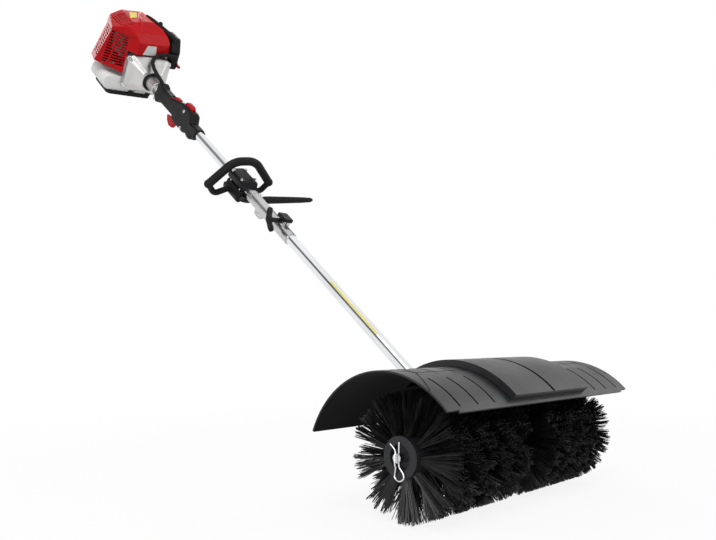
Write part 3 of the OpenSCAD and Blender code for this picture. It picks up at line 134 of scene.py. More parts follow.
def surface(name, base, rough, metal=0.0, mottle=0.12, patch=25.0, grain=700.0, grain_depth=0.00012,
            grain_strength=0.25, rough_swing=0.08, specular=0.5, edge=0.0006):
    """Colour, roughness and grain that vary over the surface, with slightly rounded edges in the light."""
    g = Graph(name)
    patches = g.noise(patch)
    fine = g.noise(grain, detail=2.0)
    colour = g.mix(g.between(patches, 0.0, 1.0), shade(base, 1 - mottle), shade(base, 1 + mottle))
    g.put(g.bsdf.inputs["Base Color"], colour)
    g.put(g.bsdf.inputs["Roughness"], g.between(patches, rough - rough_swing, rough + rough_swing))
    g.bsdf.inputs["Metallic"].default_value = metal
    g.bsdf.inputs["Specular IOR Level"].default_value = specular
    normal = None
    if edge:
        bevel = g.add("ShaderNodeBevel", Radius=edge)
        bevel.samples = 4
        normal = bevel.outputs["Normal"]
    g.put(g.bsdf.inputs["Normal"], g.bump(fine, grain_strength, grain_depth, normal))
    return g.material


LOOKS = {
    "guard_plastic": surface("guard_plastic", (0.016, 0.016, 0.0175), 0.38, mottle=0.22, patch=14, grain=1500,
                             grain_strength=0.3, specular=0.3),
    "groove_shadow": surface("groove_shadow", (0.005, 0.005, 0.005), 0.8, specular=0.0, edge=0),
    "black_plastic": surface("black_plastic", (0.006, 0.006, 0.007), 0.42, grain=1400, grain_strength=0.4,
                             specular=0.16),
    "black_rubber": surface("black_rubber", (0.008, 0.008, 0.009), 0.6, grain=1100, grain_strength=0.7,
                            grain_depth=0.0002, specular=0.16, edge=0),
    "painted_steel": surface("painted_steel", (0.008, 0.008, 0.009), 0.36, grain=900, specular=0.2),
    "bristle_nylon": surface("bristle_nylon", (0.012, 0.012, 0.0125), 0.34, mottle=0.5, patch=60, edge=0,
                             specular=0.34),
    "core_plastic": surface("core_plastic", (0.018, 0.018, 0.020), 0.45, grain=900, specular=0.25),
    "bright_steel": surface("bright_steel", (0.68, 0.69, 0.71), 0.22, metal=1.0, mottle=0.06, grain=600),
    "bronze": surface("bronze", (0.55, 0.36, 0.14), 0.3, metal=1.0),
    "tube_aluminium": surface("tube_aluminium", (0.80, 0.81, 0.83), 0.16, metal=1.0, mottle=0.05, patch=9,
                              grain=900, grain_strength=0.1, rough_swing=0.04, edge=0),
    "cast_aluminium": surface("cast_aluminium", (0.54, 0.535, 0.53), 0.36, metal=0.9, mottle=0.12, grain=700,
                              grain_strength=0.5, edge=0),
    "bush_nylon": surface("bush_nylon", (0.08, 0.08, 0.085), 0.5),
    "yellow_film": surface("yellow_film", (0.72, 0.55, 0.02), 0.4, mottle=0.06, edge=0),
    "white_film": surface("white_film", (0.72, 0.71, 0.69), 0.4, mottle=0.04, edge=0),
    "red_plastic": surface("red_plastic", (0.50, 0.004, 0.007), 0.3, mottle=0.1, patch=10, grain=500,
                           grain_strength=0.06, specular=0.13, edge=0),
    "friction_lining": surface("friction_lining", (0.16, 0.1, 0.06), 0.8),
    "muffler_steel": surface("muffler_steel", (0.16, 0.155, 0.15), 0.5, metal=0.7, mottle=0.3),
    "plug_ceramic": surface("plug_ceramic", (0.8, 0.79, 0.75), 0.2),
    "tank_plastic": surface("tank_plastic", (0.88, 0.89, 0.88), 0.35, mottle=0.05, patch=16, grain=500,
                            grain_strength=0.15, edge=0),
    "primer_rubber": surface("primer_rubber", (0.6, 0.32, 0.04), 0.4),
}
polished = surface("polished_cast", (0.56, 0.56, 0.57), 0.26, metal=0.95, mottle=0.08, grain=700,
                   grain_strength=0.2, edge=0)
SLOT_OF = {part["node"]: part["material_slot"] for part in frame["record"]["subparts"]}
for part in frame["record"]["subparts"]:
    for slot in nodes[part["node"]].material_slots:
        slot.link = "OBJECT"
        slot.material = LOOKS[part["material_slot"]]
pale_yellow = surface("pale_yellow_film", (0.74, 0.66, 0.16), 0.35, mottle=0.05, edge=0)
for node, look in (("coupler_body", polished), ("marking_strip", pale_yellow)):
    for slot in nodes[node].material_slots:
        slot.material = look


INNER_FACE = 0.0027  # deeper in the guard's wall than this is its inner face


def matt_shaded_inside(material):
    """The arch's inner face is dull and painted near black as shade under the arch: told from the outer one by
    its distance from the arch's axis.
    """
    tree = material.node_tree
    bsdf = tree.nodes["Principled BSDF"]
    split = tree.nodes.new("ShaderNodeSeparateXYZ")
    coords = tree.nodes.new("ShaderNodeTexCoord")
    tree.links.new(coords.outputs["Object"], split.inputs[0])
    flat = tree.nodes.new("ShaderNodeCombineXYZ")
    tree.links.new(split.outputs["Y"], flat.inputs["Y"])
    tree.links.new(split.outputs["Z"], flat.inputs["Z"])
    gap = tree.nodes.new("ShaderNodeVectorMath")
    gap.operation = "DISTANCE"
    gap.inputs[1].default_value = (0, GUARD_Y, GUARD_Z)
    tree.links.new(flat.outputs[0], gap.inputs[0])
    inner = tree.nodes.new("ShaderNodeMath")
    inner.operation = "LESS_THAN"
    inner.inputs[1].default_value = GUARD_R - INNER_FACE
    tree.links.new(gap.outputs["Value"], inner.inputs[0])
    # The near-black base colour is painted shade under the arch; the full roughness makes the inner face dull
    for name, value in (("Base Color", (0.0025, 0.0025, 0.003, 1)), ("Roughness", 1.0)):
        old = bsdf.inputs[name].links[0].from_socket
        mix = tree.nodes.new("ShaderNodeMix")
        mix.data_type = "RGBA" if name == "Base Color" else "FLOAT"
        a, b, out = (6, 7, 2) if name == "Base Color" else (2, 3, 0)
        tree.links.new(inner.outputs[0], mix.inputs[0])
        tree.links.new(old, mix.inputs[a])
        mix.inputs[b].default_value = value
        tree.links.new(mix.outputs[out], bsdf.inputs[name])


matt_shaded_inside(LOOKS["guard_plastic"])


# ---------------------------------------------------------------- tools for new pieces
def place_piece(name, mesh, look, body, stands_for=()):
    """A finished mesh in world metres becomes a piece of the object."""
    obj = bpy.data.objects.new(name, mesh)
    scene.collection.objects.link(obj)
    mesh.materials.clear()
    mesh.materials.append(look)
    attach(obj, body)
    if stands_for:
        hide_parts(*stands_for)
    return obj


def smooth_mesh(mesh, sharp=None):
    mesh.polygons.foreach_set("use_smooth", [True] * len(mesh.polygons))
    if sharp:
        mesh.set_sharp_from_angle(angle=math.radians(sharp))
    mesh.update()
    return mesh


def mesh_of(name, verts, faces):
    mesh = bpy.data.meshes.new(name)
    mesh.from_pydata([tuple(v) for v in verts], [], faces)
    mesh.validate()
    mesh.update()
    return mesh


def workpiece(mesh):
    obj = bpy.data.objects.new("workpiece", mesh)
    scene.collection.objects.link(obj)
    return obj


def baked(obj):
    """The mesh of a workpiece with its modifiers applied; the workpiece goes."""
    graph = bpy.context.evaluated_depsgraph_get()
    graph.update()
    mesh = bpy.data.meshes.new_from_object(obj.evaluated_get(graph))
    bpy.data.objects.remove(obj)
    return mesh


def joined(obj, other, how):
    mod = obj.modifiers.new("boolean", "BOOLEAN")
    mod.operation = how
    mod.solver = "EXACT"
    mod.object = other
    mesh = baked(obj)
    bpy.data.objects.remove(other)
    return mesh


def rounded_form(mesh, voxel, rounds):
    """A form with its edges rounded like a moulding; the voxel is in the mesh's own unit."""
    obj = workpiece(mesh)
    remesh = obj.modifiers.new("remesh", "REMESH")
    remesh.mode = "VOXEL"
    remesh.voxel_size = voxel
    smooth = obj.modifiers.new("smooth", "SMOOTH")
    smooth.factor = 0.5
    smooth.iterations = rounds
    return baked(obj)


def softened(name, node, body, voxel, rounds):
    """A CAD solid with its edges softened like a moulding or casting."""
    slot = SLOT_OF[node]
    mesh = rounded_form(nodes[node].data.copy(), voxel, rounds)
    return place_piece(name, smooth_mesh(mesh), LOOKS[slot], body, (node,))


def curve_points(points, steps):
    """A smooth run through the points (Catmull-Rom)."""
    pts = [Vector(p) for p in points]
    pts = [2 * pts[0] - pts[1]] + pts + [2 * pts[-1] - pts[-2]]
    out = []
    for i in range(1, len(pts) - 2):
        a, b, c, d = pts[i - 1:i + 3]
        for k in range(steps):
            u = k / steps
            out.append(0.5 * (2 * b + (c - a) * u + (2 * a - 5 * b + 4 * c - d) * u * u
                              + (3 * b - a - 3 * c + d) * u ** 3))
    out.append(pts[-2])
    return out


def sweep(points, radii, sides, steps):
    """A round bar along a smooth curve, with a radius at every given point."""
    run = curve_points(points, steps)
    sizes = [v.x for v in curve_points([(r, 0, 0) for r in radii], steps)]
    verts, faces = [], []
    normal = None
    for i, p in enumerate(run):
        ahead = (run[min(i + 1, len(run) - 1)] - run[max(i - 1, 0)]).normalized()
        if normal is None:
            normal = Vector((0, 0, 1)) if abs(ahead.z) < 0.9 else Vector((1, 0, 0))
        normal = (normal - ahead * normal.dot(ahead)).normalized()
        across = ahead.cross(normal)
        for k in range(sides):
            a = 2 * math.pi * k / sides
            verts.append(p + normal * (sizes[i] * math.cos(a)) + across * (sizes[i] * math.sin(a)))
    last = (len(run) - 1) * sides
    for i in range(len(run) - 1):
        for k in range(sides):
            a, b = i * sides + k, i * sides + (k + 1) % sides
            faces.append((a, b, b + sides, a + sides))
    faces.append(tuple(range(sides - 1, -1, -1)))
    faces.append(tuple(range(last, last + sides)))
    return verts, faces


def swept_piece(name, points, radii_mm, body, slot, stands_for=(), sides=16, steps=6):
    """A bar as a piece, with the look of its material slot and its radii in millimetres."""
    mesh = mesh_of(name, *sweep(points, [r * MM for r in radii_mm], sides, steps))
    return place_piece(name, smooth_mesh(mesh, 50), LOOKS[slot], body, stands_for)


def lathe(profile, sides=40):
    """Turned round the second axis: (radius, along) pairs, from end to end, closed."""
    verts, faces = [], []
    n = len(profile)
    for k in range(sides):
        a = 2 * math.pi * k / sides
        verts += [Vector((r * math.cos(a), t, r * math.sin(a))) for r, t in profile]
    for k in range(sides):
        for i in range(n):
            a, b = k * n + i, k * n + (i + 1) % n
            c, d = ((k + 1) % sides) * n + i, ((k + 1) % sides) * n + (i + 1) % n
            faces.append((a, b, d, c))
    return verts, faces


TO_WORLD = (Matrix.Translation(engine_point(0, 0, 0))
            @ Matrix((ENGINE_SIDE, ALONG, ENGINE_UP)).transposed().to_4x4())


def from_engine(mesh):
    """A mesh in engine millimetres goes to its place in the world."""
    mesh.transform(Matrix.Scale(MM, 4))
    mesh.transform(TO_WORLD)
    return mesh


def cut_from_planes(planes):
    """A convex solid in engine millimetres: what lies inside all the planes (outward normal, point)."""
    bm = bmesh.new()
    bmesh.ops.create_cube(bm, size=520, matrix=Matrix.Translation((0, 100, 60)))
    for normal, point in planes:
        geom = bm.verts[:] + bm.edges[:] + bm.faces[:]
        cut = bmesh.ops.bisect_plane(bm, geom=geom, plane_co=Vector(point),
                                     plane_no=Vector(normal).normalized(), clear_outer=True)
        rim = [e for e in cut["geom_cut"] if isinstance(e, bmesh.types.BMEdge)]
        if rim:
            bmesh.ops.edgeloop_fill(bm, edges=rim)
    bmesh.ops.remove_doubles(bm, verts=bm.verts, dist=0.01)
    bmesh.ops.recalc_face_normals(bm, faces=bm.faces)
    mesh = bpy.data.meshes.new("form")
    bm.to_mesh(mesh)
    bm.free()
    return mesh


def closed_mesh(verts, faces):
    mesh = mesh_of("cutter", verts, faces)
    bm = bmesh.new()
    bm.from_mesh(mesh)
    bmesh.ops.recalc_face_normals(bm, faces=bm.faces)
    bm.to_mesh(mesh)
    bm.free()
    return mesh


def boxes(corners):
    """Closed six-sided blocks from lists of eight corners: the lower four, then the upper four."""
    verts, faces = [], []
    for c in corners:
        base = len(verts)
        verts += c
        faces += [tuple(base + i for i in f) for f in
                  ((0, 3, 2, 1), (4, 5, 6, 7), (0, 1, 5, 4), (1, 2, 6, 5), (2, 3, 7, 6), (3, 0, 4, 7))]
    return closed_mesh(verts, faces)


# ---------------------------------------------------------------- brush
RINGS = 15
TUFTS = 9
CLUMPS = 7
PER_CLUMP = 12
RING_TWIST = math.radians(9.5)
FIRST_TWIST = math.radians(8)
END_MARGIN = 0.006
ROOT_HALF_ANGLE, TIP_HALF_ANGLE = 0.15, 0.215
MEAN_REACH, MOST_REACH = 0.974, 0.987
STRAND_ROOT, STRAND_TIP = 0.00085, 0.0006


def strand(verts, faces, root, tip, side):
    """One bristle: a thin three-sided needle."""
    base = len(verts)
    for point, r in ((root, STRAND_ROOT), (tip, STRAND_TIP)):
        for a, b in ((1, 0), (-0.5, 0.87), (-0.5, -0.87)):
            verts.append(point + side * (a * r) + SIDE * (b * r))
    for q in range(3):
        a, b = base + q, base + (q + 1) % 3
        faces.append((a, b, b + 3, a + 3))
    faces.append((base + 3, base + 4, base + 5))
    faces.append((base + 2, base + 1, base))


def bristles(name, node, sign, seed):
    """One half of the brush: rings of tufts, each tuft in clumps of strands that lean together."""
    rng = random.Random(seed)
    verts, faces = [], []
    span = HALF_BRUSH - HALF_GAP - 2 * END_MARGIN
    for ring in range(RINGS):
        x0 = HALF_GAP + END_MARGIN + span * (ring + 0.5) / RINGS
        turn = RING_TWIST * (ring + (0 if sign > 0 else 0.5)) + FIRST_TWIST
        for k in range(TUFTS):
            a0 = 2 * math.pi * k / TUFTS + turn + rng.uniform(-0.03, 0.03)
            for c in range(CLUMPS):
                share = (c + 0.5) / CLUMPS * 2 - 1
                a_clump = a0 + share * TIP_HALF_ANGLE + rng.gauss(0, 0.014)
                x_clump = x0 + rng.gauss(0, 0.0075)
                for _ in range(PER_CLUMP):
                    a_root = a0 + share * ROOT_HALF_ANGLE + rng.gauss(0, 0.02)
                    a_tip = a_clump + rng.gauss(0, 0.02)
                    x_root = x0 + rng.uniform(-0.006, 0.006)
                    x_tip = x_clump + rng.gauss(0, 0.006)
                    x_tip = max(min(x_tip, HALF_BRUSH - MM), HALF_GAP + MM)
                    reach = BRUSH_R * min(MOST_REACH, MEAN_REACH + rng.gauss(0, 0.014))
                    ends = [Vector((sign * x, r * math.sin(a), AXLE_Z + r * math.cos(a)))
                            for a, r, x in ((a_root, CORE_R - MM, x_root), (a_tip, reach, x_tip))]
                    side = Vector((0, math.cos(a_root), -math.sin(a_root)))
                    strand(verts, faces, ends[0], ends[1], side)
    mesh = mesh_of(name, verts, faces)
    return place_piece(name, mesh, LOOKS["bristle_nylon"], "brush", (node,))


bristles("left_tufts", "left_bristles", 1, 11)
bristles("right_tufts", "right_bristles", -1, 12)


def spring_pin(name, node, body, sign):
    """An R-clip: a leg through the shaft's hole, a drop-shaped eye below and a leg bent round the shaft."""
    x = sign * (HALF_BRUSH + 0.0021)
    out = sign * 0.0085
    run = [(0, -0.0004, 0.024), (0, 0, 0.012), (0, 0, 0), (0, 0, -0.0125), (0, -0.0025, -0.0165),
           (0, -0.0085, -0.0235), (0, -0.0088, -0.0305), (0, -0.0005, -0.035), (0, 0.0082, -0.031),
           (0, 0.008, -0.0245), (out * 0.7, 0.0018, -0.0155), (out * 1.1, 0.0005, -0.008),
           (out * 1.12, 0.001, 0.002), (out * 0.9, 0.0005, 0.0095), (out * 0.9, 0.004, 0.0155),
           (out * 1.2, 0.009, 0.022)]
    points = [Vector((x + p[0], p[1], AXLE_Z + p[2])) for p in run]
    swept_piece(name, points, [1.4] * len(points), body, "bright_steel", (node,), sides=10)


spring_pin("left_spring_pin", "left_clip", "left_pin", 1)
spring_pin("right_spring_pin", "right_clip", "right_pin", -1)


# ---------------------------------------------------------------- painted groove shade on the guard
PANEL_RISE = 0.012
LINE_STEPS = 40
LINE_SUNK, LINE_PROUD = -0.0006, 0.00012


def guard_point(x, deg, r):
    a = math.radians(deg)
    return Vector((x, GUARD_Y - r * math.sin(a), GUARD_Z + r * math.cos(a)))


def guard_line(verts, faces, start, end, width, radius=GUARD_R):
    """A thin dark strip on the arch, from (x, degrees) to (x, degrees): painted groove shade."""
    base = len(verts)
    dx, turn = end[0] - start[0], end[1] - start[1]
    for i in range(LINE_STEPS + 1):
        u = i / LINE_STEPS
        x, deg = start[0] + dx * u, start[1] + turn * u
        here = guard_point(x, deg, radius)
        ahead = guard_point(x + dx * 0.01, deg + turn * 0.01, radius) - here
        out = (here - Vector((x, GUARD_Y, GUARD_Z))).normalized()
        across = ahead.cross(out).normalized() * width / 2
        for s, r in ((-1, LINE_SUNK), (1, LINE_SUNK), (1, LINE_PROUD), (-1, LINE_PROUD)):
            verts.append(here + across * s + out * r)
    for i in range(LINE_STEPS):
        for q in range(4):
            a, b = base + 4 * i + q, base + 4 * i + (q + 1) % 4
            faces.append((a, b, b + 4, a + 4))
    faces.append((base + 3, base + 2, base + 1, base))
    faces.append(tuple(base + 4 * LINE_STEPS + q for q in range(4)))


verts, faces = [], []
# Dark strips in the groove_shadow look: painted shade along the middle step, the panel edges, the crest and V
# lines, and over the arch's grooves
guard_line(verts, faces, (0, -39), (0, 44.5), 0.0065, GUARD_R + PANEL_RISE)
for s in (-1, 1):
    guard_line(verts, faces, (s * 0.1238, -40), (s * 0.1238, 44.5), 0.003)
    guard_line(verts, faces, (s * 0.118, 12), (s * 0.262, 12), 0.0012)
    guard_line(verts, faces, (s * 0.262, 12), (s * 0.296, 33), 0.0014)
    guard_line(verts, faces, (s * 0.262, 12), (s * 0.292, 2), 0.0014)
    for x in (0.171, 0.216, 0.261):
        guard_line(verts, faces, (s * x, 21), (s * x, 45), 0.0032)
        guard_line(verts, faces, (s * x, 9), (s * x, -45), 0.0032)
place_piece("guard_groove_shade", mesh_of("guard_groove_shade", verts, faces), LOOKS["groove_shadow"], "frame")

# ---------------------------------------------------------------- handle, grip and coupler
softened("padded_loop", "loop_handle", "front_handle", 0.0012, 6)


def bar_middle(node, low, high, count):
    """Points along the middle of a straight bar, between the middles of two slices of its CAD mesh."""
    points = [v.co for v in nodes[node].data.vertices]
    ends = []
    for at in (low, high):
        near = [v for v in points if abs(v.x - at) < 0.004]
        ends.append(Vector([(min(v[i] for v in near) + max(v[i] for v in near)) / 2 for i in range(3)]))
    return [ends[0].lerp(ends[1], k / (count - 1)) for k in range(count)]


softened("barrier_rod", "barrier_bar", "front_handle", 0.001, 3)
swept_piece("barrier_sleeve", bar_middle("barrier_bar", 0.03, 0.19, 7), [6, 9.8, 9.6, 9.1, 8.5, 7.8, 6.2],
            "front_handle", "black_rubber", sides=20, steps=4)
softened("grip_shell_right", "grip_right_shell", "frame", 0.001, 5)
softened("grip_shell_left", "grip_left_shell", "frame", 0.001, 5)
softened("clamp_lower", "clamp_base", "front_handle", 0.001, 7)
softened("clamp_upper", "clamp_cap", "front_handle", 0.001, 7)
softened("ear_cap", "coupler_cap", "frame", 0.0008, 6)
KNOB = shaft_point(-0.0445, 0.742, 0.018)
KNOB_BAR = (ALONG + UP).normalized()
KNOB_HALF, KNOB_BEND = 0.029, 0.007
swept_piece("knob_handle", [KNOB + KNOB_BAR * (KNOB_HALF * u) + SIDE * (KNOB_BEND * u * u) for u in
                            (-1, -0.93, -0.7, -0.35, 0, 0.35, 0.7, 0.93, 1)],
            [2.6, 6, 7.2, 6.9, 8.4, 6.9, 7.2, 6, 2.6], "knob", "black_plastic", ("coupler_knob",), sides=18,
            steps=5)
swept_piece("knob_stem", [KNOB + SIDE * x for x in (0, 0.012, 0.02, 0.026, 0.033, 0.0335, 0.045, 0.0545)],
            [6.4, 5.8, 5.8, 6.2, 6.2, 3, 2.95, 2.95], "knob", "black_plastic", ("coupler_knob",), sides=18,
            steps=4)
softened("trigger_blade", "throttle_trigger", "trigger", 0.0008, 4)
softened("lockout_blade", "lockout_lever", "lockout", 0.0008, 3)
softened("conduit", "throttle_conduit", "frame", 0.0009, 6)

# ---------------------------------------------------------------- engine
softened("case_casting", "clutch_case", "frame", 0.0011, 4)
softened("filter_housing", "air_filter_cover", "frame", 0.0014, 14)
softened("tank_moulding", "fuel_tank", "frame", 0.0014, 16)
softened("stand_moulding", "engine_stand", "frame", 0.0012, 7)

# Planes of the hood, in engine millimetres: outward normal and a point
HEAD = [((1, 0, 0), (62, 0, 0)), ((10, -20, 0), (62, 62, 0)), ((26.2, 0, 8.7), (62, 0, 95)),
        ((21.5, 0, 19.2), (54.5, 0, 120)), ((14, 0, 34), (0, 0, 155)), ((-7.7, 0, 67.6), (0, 0, 155)),
        ((-24, 0, 37), (-67.6, 0, 147)), ((6.5, -29.4, 18.8), (30, 50, 101)), ((4.9, -22.3, 32.2), (30, 68, 129)),
        ((0, -1.2, 38.4), (0, 102, 152.4))]
FLANK = ((-1, 0.2, 0.25), (-139, 110, 0))
SLANT = ((-1, -1, 0), (-72, 54, 0))
FRONT = ((0.22, -1, 0), (42, 53, 0))
BACK = ((0, 1, 0), (0, 178, 0))
WALL = 4.0


def out_by(plane, d):
    return (plane[0], tuple(Vector(plane[1]) + Vector(plane[0]).normalized() * d))


def roof(x, t, planes):
    """Height of the form's top over a point of the plan."""
    return min((n[0] * (p[0] - x) + n[1] * (p[1] - t)) / n[2] + p[2] for n, p in planes if n[2] > 1)


def flank_x(t, h):
    return -139 + 0.2 * (t - 110) + 0.25 * h


def hollowed(outer_planes, open_planes, rounds, cutters):
    """A rounded shell: outer form less the same form one wall further in, less the cutters."""
    shell = workpiece(rounded_form(cut_from_planes(outer_planes + open_planes), 2.0, rounds))
    inner = cut_from_planes([out_by(p, -WALL) for p in outer_planes])
    mesh = joined(shell, workpiece(inner), "DIFFERENCE")
    for cutter in cutters:
        mesh = joined(workpiece(mesh), workpiece(cutter), "DIFFERENCE")
    return smooth_mesh(from_engine(mesh), 40)


def slot_box(a, b, half_h, out, depth):
    """A slot between two points of a face: half its height, and cut this far out and in."""
    a, b, out = Vector(a), Vector(b), Vector(out).normalized() * depth
    up = Vector((0, 0, half_h))
    return [a - out - up, b - out - up, b + out - up, a + out - up, a - out + up, b - out + up, b + out + up,
            a + out + up]


# Slots of the slanted face, then of the flank
vents = []
ROWS = 12
SLOT_HALF, SLOT_DEPTH = 2.5, 9
for i in range(ROWS):
    u = i / (ROWS - 1)
    left_x, right_x = -123 + 9 * u, -75 - 2 * u
    left_h, right_h = 4 + 97 * u, 16 + 86 * u
    split = left_x + 13
    tilt = (right_h - left_h) / (right_x - left_x)
    for x0, x1 in ((left_x, split), (split + 3.2, right_x)):
        ends = [(x, -18 - x, left_h + tilt * (x - left_x)) for x in (x0, x1)]
        vents.append(slot_box(ends[0], ends[1], SLOT_HALF, SLANT[0], SLOT_DEPTH))
for i in range(11):
    h = 16 + 8.6 * i
    for t0, t1 in ((116, 136), (140, 160)):
        shift = -0.12 * h
        ends = [(flank_x(t, h), t, h) for t in (t0 + shift + 6, t1 + shift + 6)]
        vents.append(slot_box(ends[0], ends[1], SLOT_HALF, FLANK[0], SLOT_DEPTH))
notch = [[Vector(p) for p in ((-72, -20, -60), (120, -20, -60), (120, 260, -60), (-72, 260, -60),
                              (-72, -20, 66), (120, -20, 66), (120, 260, 66), (-72, 260, 66))]]
floor_cut = [[Vector(p) for p in ((-260, -60, -120), (120, -60, -120), (120, 320, -120), (-260, 320, -120),
                                  (-260, -60, 2), (120, -60, -18), (120, 320, -12), (-260, 320, -6))]]
BOTTOM = ((0, 0, -1), (0, 0, -40))
UNDER_CAP = ((-0.12, 0, 1), (-116, 98, 112))
hood_body = hollowed(HEAD + [FLANK, SLANT, FRONT], [BACK, BOTTOM, UNDER_CAP], 5,
                     [boxes(notch), boxes(floor_cut), boxes(vents)])
place_piece("engine_hood_body", hood_body, LOOKS["red_plastic"], "frame", ("engine_shroud",))

upper = HEAD + [out_by(FLANK, 3), out_by(SLANT, 3.4), out_by(FRONT, 1.2)]
LOUVRES = (((-97, 152), (-98, 120), (-96, 92), (-88, 74), (-72, 66)),
           ((-91, 155), (-92, 123), (-91, 89), (-81, 72), (-65, 70)),
           ((-86, 156), (-86, 126), (-85, 93), (-77, 77), (-61, 76)),
           ((-81, 156), (-81, 127), (-79, 98), (-72, 83), (-61, 82)),
           ((-76, 156), (-76, 130), (-74, 104), (-69, 89)), ((-71, 153), (-71, 130), (-69, 109), (-67, 97)),
           ((-66, 153), (-65, 135), (-62, 122)), ((-59, 159), (-57, 148), (-56, 139)))
louvres = [curve_points([(x, t, 0) for x, t in run], 4) for run in LOUVRES]


def slit_wall(run, half, planes):
    """A thin upright wall along a run, which cuts a slit through the roof."""
    verts, faces = [], []
    for k, p in enumerate(run):
        ahead = run[min(k + 1, len(run) - 1)] - run[max(k - 1, 0)]
        across = Vector((ahead.y, -ahead.x, 0)).normalized() * half
        top = roof(p.x, p.y, planes)
        for side, rise in ((-1, -9), (1, -9), (1, 6), (-1, 6)):
            verts.append(Vector((p.x, p.y, top + rise)) + across * side)
    for k in range(len(run) - 1):
        for q in range(4):
            a, b = 4 * k + q, 4 * k + (q + 1) % 4
            faces.append((a, b, b + 4, a + 4))
    faces.append((3, 2, 1, 0))
    faces.append(tuple(4 * (len(run) - 1) + q for q in range(4)))
    return closed_mesh(verts, faces)


BROW = ((0.12, 0, -1), (-116, 98, 106))
LOUVRE_HALF = 1.25
hood_cap = hollowed(upper, [BACK, BROW], 8, [slit_wall(run, LOUVRE_HALF, upper) for run in louvres])
place_piece("engine_hood_cap", hood_cap, LOOKS["red_plastic"], "frame", ("engine_shroud",))


def on_engine(points):
    return [TO_WORLD @ (Vector(p) * MM) for p in points]


ridge = [(-6, 172), (-18, 148), (-30, 121), (-36, 96), (-40, 78), (-43, 62), (-46, 50)]
swept_piece("hood_ridge", on_engine([(x, t, roof(x, t, upper) - 2.2) for x, t in ridge]),
            [3, 5.5, 6, 6, 6, 5, 3], "frame", "red_plastic", sides=14, steps=5)


def draped(name, corners, height, look, thick=0.9):
    """A thin sticker that lies on a face: corners in order, and a function that gives the face's points."""
    n = 8
    verts, faces = [], []
    a, b, c, d = [Vector(p) for p in corners]
    for lift in (0.05, thick):
        for i in range(n + 1):
            for k in range(n + 1):
                u, v = i / n, k / n
                p = a * (1 - u) * (1 - v) + b * u * (1 - v) + c * u * v + d * (1 - u) * v
                verts.append(TO_WORLD @ (height(p.x, p.y, lift) * MM))
    m = (n + 1) ** 2
    for i in range(n):
        for k in range(n):
            q = i * (n + 1) + k
            faces.append((q, q + 1, q + n + 2, q + n + 1))
            faces.append((m + q, m + q + n + 1, m + q + n + 2, m + q + 1))
    rim = list(range(n + 1)) + [i * (n + 1) + n for i in range(1, n + 1)] \
        + [n * (n + 1) + k for k in range(n - 1, -1, -1)] + [i * (n + 1) for i in range(n - 1, 0, -1)]
    for p, q in zip(rim, rim[1:] + rim[:1]):
        faces.append((p, p + m, q + m, q))
    mesh = closed_mesh(verts, faces)
    return place_piece(name, smooth_mesh(mesh, 40), look, "frame")


draped("hood_square", [(-49, 158), (-25, 160), (-38, 119), (-64, 106)],
       lambda x, t, lift: Vector((x, t, roof(x, t, upper) + lift)), LOOKS["yellow_film"])
draped("hood_sticker", [(-22, 97), (9, 97), (14, 68), (-33, 68)],
       lambda x, h, lift: Vector((x, 53 + 0.22 * (x - 42) - lift, h)), LOOKS["white_film"])

swept_piece("shoulder_strip", on_engine([(4, 150, 154), (12, 128, 153), (22, 108, 149), (35, 98, 143),
                                         (49, 88, 136), (63, 78, 128), (77, 68, 118)]),
            [3, 5, 6, 6.5, 7, 9, 10], "frame", "black_plastic", sides=14)
verts, faces = lathe([(0.5, 100), (5.5, 101), (7, 104), (7, 108), (5, 111), (0.5, 112)], 20)
knob_mesh = mesh_of("strip_knob", [v + Vector((33, 0, 150)) for v in verts], faces)
place_piece("strip_knob", smooth_mesh(from_engine(knob_mesh), 50), LOOKS["black_plastic"], "frame")

# The starter housing, kept just behind the hood as seen from the front
recoil = nodes["recoil_housing"].data.copy()
recoil.transform(TO_WORLD.inverted())
recoil.transform(Matrix.Scale(1 / MM, 4))
inside = cut_from_planes([((0, 0.36, 1), (0, 178, 149)), ((-24, 6, 37), (-67.6, 178, 139)),
                          ((-1, 0.4, 0.25), (-112, 178, 0))])
housing = rounded_form(joined(workpiece(recoil), workpiece(inside), "INTERSECT"), 1.6, 6)
place_piece("starter_housing", smooth_mesh(from_engine(housing)), LOOKS["black_plastic"], "frame",
            ("recoil_housing",))

# A black ring where the neck meets the housing front: it stands for the shadowed gap there, painted shade
verts, faces = lathe([(21.2, -3), (25, -4), (29, -1), (29.5, 3), (26, 6), (21.2, 6)])
ring_mesh = from_engine(mesh_of("neck_gap_shade", verts, faces))
place_piece("neck_gap_shade", smooth_mesh(ring_mesh, 50), LOOKS["black_rubber"], "frame")
for number, end in ((1, (58, 60, 86)), (2, (60, 62, 62))):
    swept_piece(f"lead_{number}", on_engine([(30, 60, 66), (34, 52, 72), (44, 50, (72 + end[2]) / 2), end]),
                [1.3] * 4, "frame", "red_plastic", sides=8)


